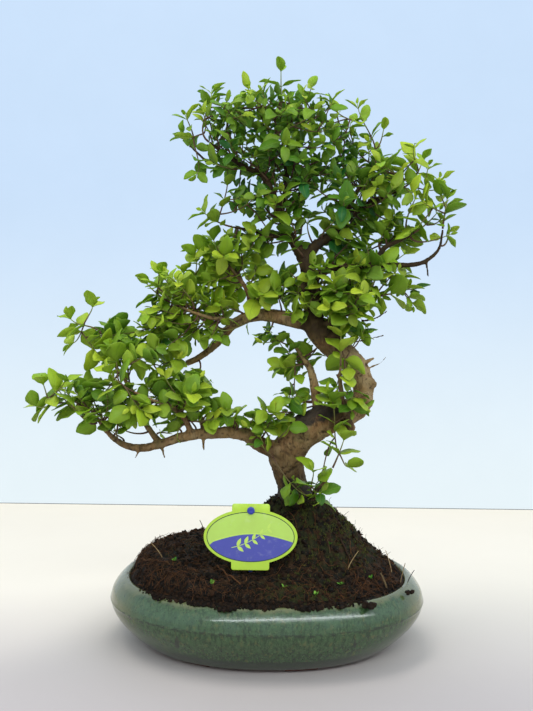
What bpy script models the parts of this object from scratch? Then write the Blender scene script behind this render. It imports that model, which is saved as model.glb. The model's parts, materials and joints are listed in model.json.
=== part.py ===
"""Privet bonsai in an oval glazed pot, with a plain plant label standing in the soil.

Lengths here are millimetres, and mesh_object turns them into metres. The origin is the middle of
the pot's flat underside: +X is the tree's right, -Y its front, and +Z is up. The trunk and its
limbs are one woody body. Each leafy spray that leaves a limb is a body of its own, grown by a
seeded rule: shoots reach from the limbs, or from earlier shoots, to tips spread round every
foliage cluster, and leaves stand on them in opposite pairs.
"""

import math
import random

import bpy
from mathutils import Matrix, Vector
from mathutils.bvhtree import BVHTree

METRES = 0.001
FIT_GAP = 0.35  # between bodies that rest against each other
UP = Vector((0, 0, 1))

# The pot: an oval plan whose bulging side draws in to a smaller foot and a smaller opening
OVAL_POWER = 2.2  # 2 is an ellipse, and more is squarer
OVAL_STEPS = 32
POT_DEPTH_SHARE = 0.756  # of its length
POT_OUTSIDE = (  # profiles are (half length, height)
    (112.5, 0.0), (116.5, 2.5), (128.5, 11), (140.5, 23), (148, 35), (150, 43), (147.5, 51), (142, 57.5),
)
POT_RIM = ((137.5, 61.8), (134.5, 63.0), (131.5, 61.8))
POT_INSIDE = ((135, 54), (141.5, 44), (139.5, 33), (130, 21), (112, 10))
DRAIN_RADIUS, DRAIN_X, DRAIN_CUT = 8.0, 70.0, 18.0

# The soil: a plateau that falls to the right and front, a steep shoulder at the rim, a cone under the trunk
SOIL_RINGS = (0.985, 0.955, 0.90, 0.81, 0.69, 0.55, 0.41, 0.28, 0.14)
SOIL_WALL_GAP = 1.2
SOIL_EDGE, SOIL_PLATEAU, FALL_TO_RIGHT, FALL_TO_FRONT, SHOULDER_POWER = 61.0, 79.0, 0.075, 0.08, 14
CONE_HEIGHT, CONE_LEFT, CONE_RIGHT, CONE_DEPTH, CONE_POWER = 62.0, 74.0, 60.0, 42.0, 2.4

# The label: an oval plate with a square tab above and below, hung on a peg through its upper edge
LABEL_CENTRE, LABEL_HALF_X, LABEL_HALF_Z = (-15.5, -60.0, 112.0), 42.0, 24.5
TAB_HALF_X, TAB_HALF_Z, LABEL_THICK, LABEL_LEAN = 17.0, 29.2, 1.4, 8.0
PEG_RADIUS, PEG_HEIGHT, PEG_BACK, STICK_RADIUS, STICK_FOOT_Z = 1.6, 23.2, 6.7, 2.2, 48.0
BUTTON = ((0.0, 3.4), (0.8, 3.4), (1.6, 2.2))

# Woody limbs, each a list of (x, y, z, radius) along its middle line
TRUNK = (
    (31, 6, 58, 22), (31, 6, 84, 22), (31, 6, 106, 24), (29, 6, 124, 19.5), (24, 4, 146, 15.5), (19, 2, 164, 16.5),
    (20, 0, 181, 17.5), (30, -3, 196, 17), (44, -5, 206, 16), (58, -7, 213, 14.5), (73, -6, 218, 13),
    (86, -1, 225, 11.5), (91, 4, 236, 10.5), (90, 6, 248, 10.5), (84, 5, 260, 11.2), (75, 2, 270, 12),
    (64, -2, 279, 12), (53, -4, 288, 11.3), (44, -4, 298, 11), (41, -2, 311, 9.8), (41, 0, 327, 8.6),
    (38, 3, 346, 7.6), (32, 5, 364, 7),
)
LIMBS = {
    "low": (
        (19, 0, 179, 10), (3, -6, 183, 9), (-9, -9, 188, 7.6), (-20, -12, 196, 6.8), (-35, -15, 199, 6),
        (-52, -18, 199, 5.4), (-70, -22, 198, 5), (-84, -25, 195, 4.6), (-100, -28, 190, 4.2),
        (-116, -30, 186, 3.8), (-131, -32, 188, 3.3), (-142, -33, 194, 2.8), (-150, -34, 202, 2.4),
        (-159, -36, 214, 2), (-173, -38, 221, 1.6), (-184, -40, 227, 1.2),
    ),
    "low_rise": (
        (-101, -28, 190, 3.2), (-113, -24, 204, 2.8), (-120, -20, 216, 2.5), (-128, -14, 234, 2.2),
        (-141, -8, 252, 1.9), (-153, -4, 269, 1.6), (-162, 0, 290, 1.2),
    ),
    "low_mid": (
        (-73, -22, 198, 3.2), (-78, -27, 212, 2.7), (-89, -34, 224, 2.3), (-107, -44, 232, 1.8),
        (-122, -52, 240, 1.3),
    ),
    "low_back": (
        (-60, -20, 199, 3.4), (-66, -6, 212, 2.8), (-78, 8, 226, 2.3), (-94, 20, 238, 1.8), (-108, 30, 250, 1.3),
    ),
    "middle": (
        (41, -4, 303, 8), (27, -2, 305, 7.2), (13, 4, 308, 7), (-4, 10, 311, 6.5), (-20, 15, 309, 5.8),
        (-34, 19, 303, 5), (-44, 22, 293, 4.4), (-52, 24, 283, 4), (-62, 25, 274, 3.6), (-73, 26, 266, 3.3),
    ),
    "middle_rise": ((-20, 15, 309, 3.6), (-21, 12, 329, 2.8), (-27, 10, 341, 2.3), (-41, 6, 358, 1.5)),
    "middle_left": (
        (-34, 19, 303, 3.2), (-45, 12, 306, 2.6), (-60, 2, 308, 2.1), (-78, -4, 314, 1.6), (-96, -2, 322, 1.2),
    ),
    "middle_back": ((-44, 22, 293, 3), (-58, 34, 300, 2.4), (-76, 40, 312, 1.9), (-92, 36, 328, 1.3)),
    "fork_left": (
        (32, 5, 362, 6.2), (24, 4, 377, 5.2), (16, 2, 389, 4.8), (9, 0, 406, 4.3), (3, -2, 420, 3.9),
        (-3, -4, 433, 3.4), (-11, -7, 444, 3), (-26, -10, 449, 2.5), (-42, -14, 459, 2), (-59, -18, 470, 1.4),
    ),
    "fork_right": (
        (32, 5, 360, 6), (40, 6, 375, 5.4), (51, 7, 384, 5), (61, 7, 391, 4.5), (71, 6, 403, 4.1),
        (83, 4, 413, 3.6), (95, 2, 419, 3), (109, 0, 426, 2.4), (124, -2, 433, 1.6),
    ),
    "side": ((16, 2, 387, 3), (4, 0, 386, 2.6), (-9, -3, 389, 2.2), (-23, -8, 391, 1.8), (-37, -12, 393, 1.3)),
    "leader": ((8, 0, 408, 3.8), (13, 4, 428, 3.3), (14, 6, 446, 2.8), (11, 8, 466, 2.2), (9, 7, 490, 1.5)),
    "leader_back": ((14, 6, 446, 2.6), (20, 18, 456, 2.2), (28, 32, 466, 1.8), (36, 44, 480, 1.3)),
    "right_rise": (
        (71, 6, 403, 3.2), (76, 12, 418, 2.8), (84, 18, 434, 2.3), (92, 20, 450, 1.7), (98, 16, 464, 1.3),
    ),
    "right_low": (
        (40, 2, 346, 5), (55, 0, 356, 4.6), (72, -4, 356, 4), (90, -9, 357, 3.6), (99, -12, 363, 3.2),
        (106, -15, 375, 2.6), (118, -18, 381, 2.1), (131, -20, 388, 1.4),
    ),
    "right_reach": (
        (96, -11, 359, 3), (112, -16, 359, 2.6), (131, -20, 359, 2.3), (144, -22, 363, 2), (155, -24, 374, 1.5),
        (158, -24, 392, 1.2),
    ),
    "back": ((41, 2, 314, 5.5), (40, 18, 322, 4.6), (33, 34, 332, 3.6), (19, 48, 340, 2.6), (2, 58, 346, 1.5)),
    "back_right": ((40, 18, 322, 3.6), (54, 32, 326, 3), (70, 42, 334, 2.3), (86, 46, 346, 1.5)),
    "middle_right": (
        (44, -2, 294, 5.5), (57, -9, 304, 4.5), (70, -15, 313, 3.6), (85, -19, 321, 2.6), (101, -20, 329, 1.5),
    ),
    "stub": (
        (52, -7, 210, 6.5), (46, -4, 226, 5.2), (43, -1, 244, 4.4), (39, 2, 259, 3.4), (29, 6, 274, 2.2),
        (20, 8, 286, 1.4),
    ),
    "front": (
        (76, -10, 217, 4), (73, -21, 220, 3.2), (68, -29, 232, 2.6), (65, -32, 250, 2.1), (65, -32, 264, 1.4),
    ),
    "sprout": (
        (32, -6, 134, 3), (38, -22, 138, 2.5), (46, -30, 149, 2), (54, -34, 160, 1.6), (59, -34, 170, 1.2),
    ),
}
PATHS = {"trunk": TRUNK, **LIMBS}
BARE_TRUNK = 45  # samples of the trunk, from its foot, where no shoot leaves
KNOBS = (((5, -5, 169), 11), ((33, -4, 338), 5.5))  # (middle, radius)
STUBS = (  # dead snags and cut ends
    ((-73, 26, 266, 3.3), (-83, 27, 262, 3.0)), ((-100, -28, 188, 1.5), (-97, -27, 176, 1.0)),
    ((-62, -20, 196, 1.5), (-61, -20, 182, 0.9)), ((84, 2, 262, 3), (101, 3, 271, 1.4)),
    ((144, -22, 362, 1.3), (146, -22, 348, 0.9)), ((44, -2, 331, 3), (53, -4, 330, 2.4)),
)
TRUNK_STEP, TRUNK_SIDES, LIMB_STEP, LIMB_SIDES, STUB_SIDES = 11, 10, 17, 5, 4
FOOT_RINGS = 10  # rings of the trunk, from its foot, that the hole in the soil follows

# Foliage clusters: name, middle, half sizes and how many shoots end in each
CLUSTERS = (
    ("top_left", (-40, -5, 502), (40, 56, 25), 5), ("top_mid", (18, 0, 506), (42, 62, 24), 6),
    ("top_wing", (-47, -10, 454), (34, 50, 22), 3), ("crown", (15, 5, 462), (50, 76, 28), 5),
    ("top_right", (66, 0, 452), (31, 60, 26), 3), ("crown_foot", (-9, 0, 420), (28, 52, 16), 2),
    ("right_top", (109, -5, 458), (34, 54, 25), 5), ("right_tip", (134, -8, 427), (32, 46, 19), 3),
    ("right_heart", (74, 5, 410), (40, 66, 22), 4), ("right_low", (122, 0, 388), (32, 50, 22), 3),
    ("right_foot", (98, -15, 352), (30, 48, 18), 3), ("heart_low", (73, 22, 376), (38, 56, 20), 3),
    ("middle_right", (74, -15, 326), (42, 58, 22), 4), ("middle_foot", (62, 0, 302), (24, 44, 13), 2),
    ("centre", (2, 5, 340), (28, 46, 28), 2), ("shoulder", (-22, 10, 378), (32, 50, 22), 2),
    ("left_top", (-58, 14, 364), (35, 54, 23), 3), ("left_peak", (-94, 8, 342), (33, 48, 23), 2),
    ("left_heart", (-62, 18, 328), (42, 56, 20), 2), ("left_edge", (-109, 5, 310), (30, 44, 17), 2),
    ("low_top", (-114, -8, 280), (40, 52, 21), 3), ("low_peak", (-169, 0, 281), (32, 46, 25), 3),
    ("low_tip", (-186, -28, 241), (32, 42, 18), 3), ("low_front", (-132, -44, 230), (42, 38, 22), 4),
    ("low_heart", (-84, -20, 240), (35, 54, 22), 3), ("tail", (-48, -24, 219), (22, 28, 13), 2),
    ("tail_end", (-10, -18, 214), (22, 28, 15), 2), ("stub_head", (26, 8, 270), (24, 28, 20), 2),
    ("front_head", (68, -30, 250), (19, 18, 22), 2), ("sprout_head", (50, -34, 160), (20, 15, 17), 3),
)
LONE_TIPS = (  # the outermost tips, each the end of a shoot by itself
    (7, 0, 543), (-86, -6, 478), (80, -4, 508), (157, -24, 402), (159, -6, 434), (144, 4, 462), (-214, -40, 226),
    (-192, -2, 306), (126, -20, 338), (-58, -4, 520), (74, -34, 172),
)
ONWARD, ONWARD_LIFT = 30.0, 0.3  # how far, and how much upwards, a shoot runs on from the end of a limb
REACH = (0.62, 0.98)  # how near its cluster's outside a tip lies
SEED = 11
LONGEST_SHOOT, GOOD_SHOOT, SHORTEST_SHOOT = 80.0, 34.0, 12.0
ASTRAY_COST, BACK_COST = 0.4, 0.35  # for leaving at an angle, and for length already behind the start
MOST_SPRAYS, NEW_SPRAY_COST, START_TRIES = 50, 14.0, 60
LIMB_SHOOT_RADIUS, SIDE_SHOOT_RADIUS, TIP_RADIUS = 1.4, 1.05, 0.8
CURVE_STEPS = 24  # in which a shoot's length is measured
TIP_NODE, NODE_SPACING, NODE_HALF = 1.5, 14.0, 0.7
SHOOT_CLEARANCE, LEAF_CLEARANCE, NECK_CLEARANCE = 0.6, 0.35, 0.2
PAIRS_PER_SHOOT = 2
LEAF_LENGTHS, LENGTH_SPREAD = (18.5, 24.5), (0.88, 1.12)  # the end pair, and the pairs behind it
LEAF_LEANS = ((42, 54), (52, 72))  # degrees from the shoot, in the same order
LEAF_WIDTH_SHARE = 0.58
LEAF_RIB, LEAF_FOLD, LEAF_SAG = 0.6, 0.26, 0.15
BLADE_ROWS = ((0.33, 0.94), (0.70, 0.82))  # (share of length, share of half width)
BASE_ROW, NECK_ROW = (0.03, 0.16), (0.08, 0.28)  # from the neck on, a leaf keeps clear of its own shoot too
LEAF_TRIES, SWING, SHORTEN, LEAN_MORE = 9, 0.3, 0.97, 0.05  # where a leaf has no room, it turns and shrinks

MATERIALS = {
    "glaze": ((0.15, 0.235, 0.185), 0.16),
    "soil": ((0.045, 0.026, 0.014), 0.95),
    "bark": ((0.22, 0.15, 0.095), 0.85),
    "leaf_old": ((0.07, 0.20, 0.025), 0.38),
    "leaf_young": ((0.25, 0.42, 0.03), 0.45),
    "label_print": ((0.42, 0.62, 0.05), 0.4),
    "label_stick": ((0.05, 0.05, 0.32), 0.4),
    "root": ((0.20, 0.11, 0.06), 0.8),
}
YOUNG_ABOVE = 380.0  # sprays higher than this carry the pale new leaves

# Thin dead roots on the soil, as (x, y) points of their plan
SURFACE_ROOTS = {
    "surface_root_left": ((-119, -22), (-104, -36), (-88, -46), (-74, -38)),
    "surface_root_front": ((-46, -46), (-36, -62), (-22, -80)),
    "surface_root_right": ((68, -22), (78, -36), (83, -46), (76, -62)),
}
ROOT_RADIUS, ROOT_STEP, ROOT_FEELERS, ABOVE_SOIL = 0.9, 6, 8, 200


def clear_scene():
    for obj in list(bpy.data.objects):
        bpy.data.objects.remove(obj, do_unlink=True)


def material(name):
    """The named material, made on first use."""
    if name in bpy.data.materials:
        return bpy.data.materials[name]
    made = bpy.data.materials.new(name)
    made.use_nodes = True
    shader = made.node_tree.nodes["Principled BSDF"]
    colour, roughness = MATERIALS[name]
    shader.inputs["Base Color"].default_value = (*colour, 1)
    shader.inputs["Roughness"].default_value = roughness
    return made


def mesh_object(name, vertices, faces, finish):
    """A mesh object in metres from vertices in millimetres."""
    mesh = bpy.data.meshes.new(name)
    mesh.from_pydata([Vector(v) * METRES for v in vertices], [], faces)
    mesh.materials.append(material(finish))
    obj = bpy.data.objects.new(name, mesh)
    bpy.context.scene.collection.objects.link(obj)
    return obj


def boolean(obj, operation, others, solver="EXACT"):
    """Joins or cuts obj with all the others at once, applies that, and removes the others."""
    group = bpy.data.collections.new(obj.name + "_others")
    bpy.context.scene.collection.children.link(group)
    for other in others:
        bpy.context.scene.collection.objects.unlink(other)
        group.objects.link(other)
    step = obj.modifiers.new(operation.title(), "BOOLEAN")
    step.operation, step.operand_type, step.collection, step.solver = operation, "COLLECTION", group, solver
    bpy.context.view_layer.update()
    done = bpy.data.meshes.new_from_object(obj.evaluated_get(bpy.context.evaluated_depsgraph_get()))
    obj.modifiers.remove(step)
    obj.data = done
    for other in others:
        bpy.data.objects.remove(other, do_unlink=True)
    bpy.data.collections.remove(group)


def fuse(name, pieces, finish):
    """One body from closed pieces, (vertices, faces), that overlap each other."""
    whole, *rest = [mesh_object(name, *piece, finish) for piece in pieces]
    boolean(whole, "UNION", rest, "MANIFOLD")


def smooth(points, step):
    """Points about step apart on a Catmull-Rom curve through these (x, y, z, radius) points."""
    knots = [points[0], *points, points[-1]]
    found = []
    for a, b, c, d in zip(knots, knots[1:], knots[2:], knots[3:]):
        count = max(1, round(math.dist(b[:3], c[:3]) / step))
        for share in (i / count for i in range(count)):
            found.append([
                0.5 * (2 * q + (r - p) * share + (2 * p - 5 * q + 4 * r - s) * share**2
                       + (3 * q - p - 3 * r + s) * share**3)
                for p, q, r, s in zip(a, b, c, d)
            ])
    return [*found, list(points[-1])]


def ring(middle, along, across, radius, sides):
    """Points round middle, from across and turning about along."""
    other = along.cross(across)
    angles = (math.tau * k / sides for k in range(sides))
    return [middle + (across * math.cos(a) + other * math.sin(a)) * radius for a in angles]


def tube(points, sides):
    """A closed tube with flat ends along (x, y, z, radius) points."""
    middles = [Vector(p[:3]) for p in points]
    vertices, across = [], None
    for i, middle in enumerate(middles):
        along = (middles[min(i + 1, len(middles) - 1)] - middles[max(i - 1, 0)]).normalized()
        across = along.orthogonal() if across is None else across - along * across.dot(along)
        across.normalize()
        vertices += ring(middle, along, across, points[i][3], sides)
    return vertices, tube_faces(len(points), sides)


def tube_faces(rings, sides):
    """The side faces of rings of vertices, and a face over each end."""
    faces = []
    for i in range(rings - 1):
        for k in range(sides):
            a, b = i * sides + k, i * sides + (k + 1) % sides
            faces += [(a, b, b + sides), (a, b + sides, a + sides)]
    last = (rings - 1) * sides
    return faces + [tuple(range(sides))[::-1], tuple(range(last, last + sides))]


def ball(centre, radius, sides=8, rings=5):
    """A rough ball as a tube that closes to small flat ends."""
    points = []
    for i in range(rings):
        angle = math.pi * (0.06 + 0.88 * i / (rings - 1))
        points.append((centre[0], centre[1], centre[2] - radius * math.cos(angle), radius * math.sin(angle)))
    return tube(points, sides)


class Crowd:
    """The solids placed so far. touches tells whether a new one would cross any of them."""

    def __init__(self):
        self.placed = []

    @staticmethod
    def bounds(vertices):
        middle = sum(vertices, Vector()) / len(vertices)
        return middle, max((v - middle).length for v in vertices)

    def add(self, owner, vertices, faces):
        self.placed.append((owner, *self.bounds(vertices), BVHTree.FromPolygons(vertices, faces)))

    def touches(self, vertices, faces, but=None):
        middle, reach = self.bounds(vertices)
        tree = BVHTree.FromPolygons(vertices, faces)
        return any(
            owner != but and (middle - other).length < reach + other_reach and tree.overlap(other_tree)
            for owner, other, other_reach, other_tree in self.placed
        )


class Leaf:
    """A blade in rows of left edge, upper rib, right edge and lower rib, which ends in a point."""

    def __init__(self, base, along, face, length):
        self.base, self.along, self.length = base, along, length
        self.side = along.cross(face).normalized()
        self.face = self.side.cross(along)

    def row(self, share, spread, grow=0.0):
        half = spread * self.length * LEAF_WIDTH_SHARE / 2 + grow
        sag = self.face * self.length * LEAF_SAG * share**2
        middle = self.base + self.along * self.length * share - sag
        rib, lift = self.face * (LEAF_RIB * (1 - share / 3) + grow), self.face * LEAF_FOLD * half
        return [middle - self.side * half + lift, middle + rib, middle + self.side * half + lift, middle - rib]

    def tip(self):
        return self.base + self.along * self.length - self.face * self.length * LEAF_SAG

    def solid(self, first_row, grow=0.0):
        """The blade by itself from this row on, closed, to test what it would cross."""
        body = Body()
        first = body.add(self.row(*first_row, grow))
        body.faces.append(first[::-1])
        body.carry_blade(first, self, grow)
        return body.vertices, body.faces


class Body:
    """A closed mesh that grows: a side face is left open, and carried out into a shoot or a leaf."""

    def __init__(self):
        self.vertices, self.faces, self.leaves = [], [], []

    def add(self, places):
        first = len(self.vertices)
        self.vertices += places
        return tuple(range(first, first + len(places)))

    def bridge(self, near, far):
        """Faces between two rings of four, far turned so that they twist least."""
        def twist(turn):
            lines = [self.vertices[far[(k + turn) % 4]] - self.vertices[near[k]] for k in range(4)]
            return sum(line.length_squared for line in lines)

        turn = min(range(4), key=twist)
        for k in range(4):
            a, b, c, d = near[k], near[(k + 1) % 4], far[(k + 1 + turn) % 4], far[(k + turn) % 4]
            # Both halves of a blade are split from the rib to the next edge, so its two faces stay alike.
            self.faces += [(a, b, d), (b, c, d)] if (k + turn) % 2 == 0 else [(a, b, c), (a, c, d)]

    def carry_blade(self, near, leaf, grow=0.0):
        for share, spread in BLADE_ROWS:
            far = self.add(leaf.row(share, spread, grow))
            self.bridge(near, far)
            near = far
        tip, = self.add([leaf.tip()])
        self.faces += [(near[k], near[(k + 1) % 4], tip) for k in range(4)]

    def carry_shoot(self, near, shoot, shoots):
        """The shoot from the ring near, with everything that it carries."""
        for i in range(1, len(shoot.stations)):
            if not any(station == i for station, _ in shoot.carried):
                low = self.add(shoot.ring(i))
                self.bridge(near, low)
                near = low
                continue
            low, high = self.add(shoot.ring(i, -NODE_HALF)), self.add(shoot.ring(i, NODE_HALF))
            self.bridge(near, low)
            for k in range(4):
                open_face = (low[k], low[(k + 1) % 4], high[(k + 1) % 4], high[k])
                carried = shoot.carried.get((i, k))
                if carried is None:
                    self.faces.append(open_face)
                elif isinstance(carried, Leaf):
                    first = len(self.faces)
                    self.carry_blade(open_face, carried)
                    self.leaves.append((range(first, len(self.faces)), shoot, (i, k)))
                else:
                    self.carry_shoot(open_face, shoots[carried], shoots)
            near = high
        self.faces.append(near)

    def crossing_leaves(self):
        """The places, (shoot, (station, face)), of leaves that cross another part of this body."""
        tree = BVHTree.FromPolygons(self.vertices, self.faces)
        crossing = {
            face for pair in tree.overlap(tree) for face in pair
            if not set(self.faces[pair[0]]) & set(self.faces[pair[1]])
        }
        return [(shoot, place) for faces, shoot, place in self.leaves if crossing & set(faces)]


class Shoot:
    """A four-sided twig on a Hermite curve. Its stations are its base and its nodes, up to the tip."""

    def __init__(self, spray, start, leave, end, arrive, radius, turn):
        self.spray, self.carried = spray, {}
        chord = (end - start).length

        def place(s):
            return (start * (2 * s**3 - 3 * s**2 + 1) + leave * chord * (s**3 - 2 * s**2 + s)
                    + end * (3 * s**2 - 2 * s**3) + arrive * chord * (s**3 - s**2))

        points = [place(i / CURVE_STEPS) for i in range(CURVE_STEPS + 1)]
        self.length = sum((b - a).length for a, b in zip(points, points[1:]))
        nodes = int((self.length - TIP_NODE - NODE_SPACING * 0.45) / NODE_SPACING)
        distances = [0.0] + [self.length - TIP_NODE - NODE_SPACING * k for k in range(nodes, -1, -1)]
        self.stations, across = [], None
        for distance in distances:
            s = distance / self.length
            along = (place(min(s + 0.02, 1)) - place(max(s - 0.02, 0))).normalized()
            if across is None:
                across = Matrix.Rotation(turn, 3, along) @ along.orthogonal()
            across = (across - along * across.dot(along)).normalized()
            self.stations.append((place(s), along, across, radius + (TIP_RADIUS - radius) * s))

    def ring(self, station, ahead=0.0, grow=0.0):
        middle, along, across, radius = self.stations[station]
        return ring(middle + along * ahead, along, across, radius + grow, 4)

    def outward(self, station, face):
        """The direction in which one of the four side faces looks."""
        _, along, across, _ = self.stations[station]
        return Matrix.Rotation(math.pi / 4 + face * math.pi / 2, 3, along) @ across

    def surface(self, station, face):
        middle, _, _, radius = self.stations[station]
        return middle + self.outward(station, face) * radius * math.sqrt(0.5)

    def solid(self, first=0, grow=0.0):
        """The bare twig from this station on, closed, to test what it would cross."""
        count = len(self.stations) - first
        vertices = [v for i in range(first, first + count) for v in self.ring(i, grow=grow)]
        return vertices, tube_faces(count, 4)


def limb_pieces():
    """The tubes and knobs that make the woody body, as (vertices, faces)."""
    pieces = [tube(smooth(TRUNK, TRUNK_STEP), TRUNK_SIDES)]
    pieces += [tube(smooth(path, LIMB_STEP), LIMB_SIDES) for path in LIMBS.values()]
    pieces += [ball(*place) for place in KNOBS]
    return pieces + [tube(path, STUB_SIDES) for path in STUBS]


def joined(pieces):
    """One list of vertices and one of faces from several pieces."""
    vertices, faces = [], []
    for more, shapes in pieces:
        faces += [tuple(len(vertices) + i for i in face) for face in shapes]
        vertices += more
    return vertices, faces


def cluster_tips(draw):
    """The shoots' tips, lone, beyond each limb's end and evenly round every cluster: (rank, middle, tip)."""
    turn = math.pi * (3 - math.sqrt(5))
    found = [(0, Vector(tip) - UP, Vector(tip)) for tip in LONE_TIPS]
    for path in LIMBS.values():
        end, before = Vector(path[-1][:3]), Vector(path[-2][:3])
        found.append((0, end, end + ((end - before).normalized() + UP * ONWARD_LIFT).normalized() * ONWARD))
    for _, middle, half, count in CLUSTERS:
        start = draw.uniform(0, math.tau)
        for i in range(count):
            height = 1 - 2 * (i + 0.5) / count
            level, reach = math.sqrt(1 - height**2), draw.uniform(*REACH)
            way = (level * math.cos(start + turn * i), level * math.sin(start + turn * i), height)
            tip = Vector(m + w * h * reach for m, w, h in zip(middle, way, half))
            found.append((1 if i == 0 else 2, Vector(middle), tip))
    return found


def limb_places():
    """Places on the limbs where a shoot may leave: (middle, direction, radius, is the limb's end)."""
    found = []
    for name, path in PATHS.items():
        points = smooth(path, 7)
        for i in range(BARE_TRUNK if name == "trunk" else 2, len(points)):
            here, before = Vector(points[i][:3]), Vector(points[i - 1][:3])
            found.append((here, (here - before).normalized(), points[i][3], i == len(points) - 1))
    return found


def shoot_from_limb(spray, place, heart, tip, wood, samples, turn):
    """A shoot that stands just clear of a limb's bark, or None where the limb doesn't face the tip."""
    middle, way, radius, is_end = place
    toward = (tip - middle).normalized()
    if is_end:
        start, normal, buried = middle + way * FIT_GAP, way, False
    else:
        hit, normal, _, _ = wood.find_nearest(middle + toward * (radius + 2))
        start = hit + normal * FIT_GAP
        buried = any((start + normal - other).length < r + FIT_GAP for other, _, r, _ in samples)
    if buried or normal.dot(toward) < 0.2 or not SHORTEST_SHOOT < (tip - start).length < LONGEST_SHOOT:
        return None
    return Shoot(spray, start, normal, tip, arrival(toward, heart, tip), LIMB_SHOOT_RADIUS, turn)


def shoot_from_shoot(parent, station, face, heart, tip, turn):
    """A side shoot that grows out of one side of its parent's node."""
    start = parent.surface(station, face)
    toward = (tip - start).normalized()
    faces_tip = parent.outward(station, face).dot(toward) > 0.1
    if not faces_tip or not SHORTEST_SHOOT < (tip - start).length < LONGEST_SHOOT:
        return None
    leave = (parent.outward(station, face) * 0.8 + toward).normalized()
    return Shoot(parent.spray, start, leave, tip, arrival(toward, heart, tip), SIDE_SHOOT_RADIUS, turn)


def arrival(toward, heart, tip):
    """The direction in which a shoot ends: onwards, out of its cluster, and a little upwards."""
    return ((tip - heart).normalized() * 0.7 + toward + UP * 0.5).normalized()


def grow_shoots(crowd, limbs, draw):
    """Shoots to all the cluster tips that can be reached without crossing anything."""
    wood = BVHTree.FromPolygons(*joined(limbs))
    samples = limb_places()
    starts = []
    for i, (middle, along, _, is_end) in enumerate(samples):
        starts.append((middle, along, 0 if is_end else NEW_SPRAY_COST, ("limb", i)))
    tips = cluster_tips(draw)
    tips.sort(key=lambda found: (found[0], -min((found[2] - sample[0]).length for sample in samples)))
    shoots, sprays = [], 0
    for _, heart, tip in tips:
        def cost(start):
            middle, along, extra, _ = start
            gap = tip - middle
            short = max(0, GOOD_SHOOT - gap.length)
            return gap.length * (1 + ASTRAY_COST * (1 - along.dot(gap.normalized()))) + short + extra

        turn = draw.uniform(0, math.tau)
        for middle, _, extra, (kind, *where) in sorted(starts, key=cost)[:START_TRIES]:
            if kind == "limb":
                if sprays == MOST_SPRAYS:
                    continue
                shoot = shoot_from_limb(len(shoots), samples[where[0]], heart, tip, wood, samples, turn)
                parent = None
            else:
                parent, station, face = where
                if (station, face) in shoots[parent].carried:
                    continue
                shoot = shoot_from_shoot(shoots[parent], station, face, heart, tip, turn)
            if shoot is None or len(shoot.stations) < 2:
                continue
            first = 1 if parent is None and len(shoot.stations) > 2 else 0
            if crowd.touches(*shoot.solid(first, SHOOT_CLEARANCE), parent):
                continue
            if crowd.touches(*shoot.solid(), parent):
                continue
            number = len(shoots)
            if parent is None:
                sprays += 1
            else:
                shoots[parent].carried[station, face] = number
            shoots.append(shoot)
            crowd.add(number, *shoot.solid())
            last = len(shoot.stations) - 1
            for i in range(1, last):
                for k in (1 - (last - i) % 2, 3 - (last - i) % 2):
                    way = (shoot.outward(i, k) + shoot.stations[i][1]).normalized()
                    behind = extra + BACK_COST * shoot.length * i / last
                    starts.append((shoot.stations[i][0], way, behind, ("shoot", number, i, k)))
            break
    return shoots


def add_leaf_pair(number, shoot, station, order, crowd, draw):
    """Two opposite leaves on a node. order counts pairs from the tip: each is a quarter turn from the last."""
    middle, way, _, _ = shoot.stations[station]
    for face in (order % 2, order % 2 + 2):
        out = shoot.outward(station, face)
        length = LEAF_LENGTHS[min(order, 1)] * draw.uniform(*LENGTH_SPREAD)
        lean = math.radians(draw.uniform(*LEAF_LEANS[min(order, 1)]))
        for attempt in range(LEAF_TRIES):
            swing = (attempt + 1) // 2 * SWING * (-1) ** attempt
            aside = (Matrix.Rotation(swing, 3, way) @ out + UP * 0.12).normalized()
            along = (way * math.cos(lean) + aside * math.sin(lean)).normalized()
            upper = (UP + way * 0.7 - out * 0.25).normalized()
            if abs(upper.dot(along)) > 0.93:
                upper = way
            leaf = Leaf(shoot.surface(station, face), along, upper, length)
            free = not crowd.touches(*leaf.solid(BASE_ROW, NECK_CLEARANCE), number)
            if free and not crowd.touches(*leaf.solid(NECK_ROW, LEAF_CLEARANCE)):
                crowd.add("leaf", *leaf.solid(BASE_ROW))
                shoot.carried[station, face] = leaf
                break
            length *= SHORTEN
            lean += LEAN_MORE


def spray_body(shoot, shoots):
    """The shoot with all that it carries, but for leaves whose necks would cross another part of it."""
    while True:
        body = Body()
        base = body.add(shoot.ring(0))
        body.faces.append(base[::-1])
        body.carry_shoot(base, shoot, shoots)
        crossing = body.crossing_leaves()
        if not crossing:
            return body
        for carrier, place in crossing:
            del carrier.carried[place]


def make_tree():
    """The woody body, then a body for each leafy spray, largest first."""
    limbs = limb_pieces()
    crowd = Crowd()
    for piece in limbs:
        crowd.add("limb", *piece)
    draw = random.Random(SEED)
    shoots = grow_shoots(crowd, limbs, draw)
    for order in range(PAIRS_PER_SHOOT):
        for number, shoot in enumerate(shoots):
            if len(shoot.stations) - 1 - order >= 1:
                add_leaf_pair(number, shoot, len(shoot.stations) - 1 - order, order, crowd, draw)
    fuse("trunk_and_limbs", limbs, "bark")
    bodies = []
    for number, shoot in enumerate(shoots):
        if shoot.spray == number:
            bodies.append((spray_body(shoot, shoots), shoot.stations[-1][0].z))
    bodies.sort(key=lambda pair: len(pair[0].faces), reverse=True)
    for rank, (body, height) in enumerate(bodies, 1):
        finish = "leaf_young" if height > YOUNG_ABOVE else "leaf_old"
        mesh_object(f"spray_{rank:02d}", body.vertices, body.faces, finish)


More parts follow.
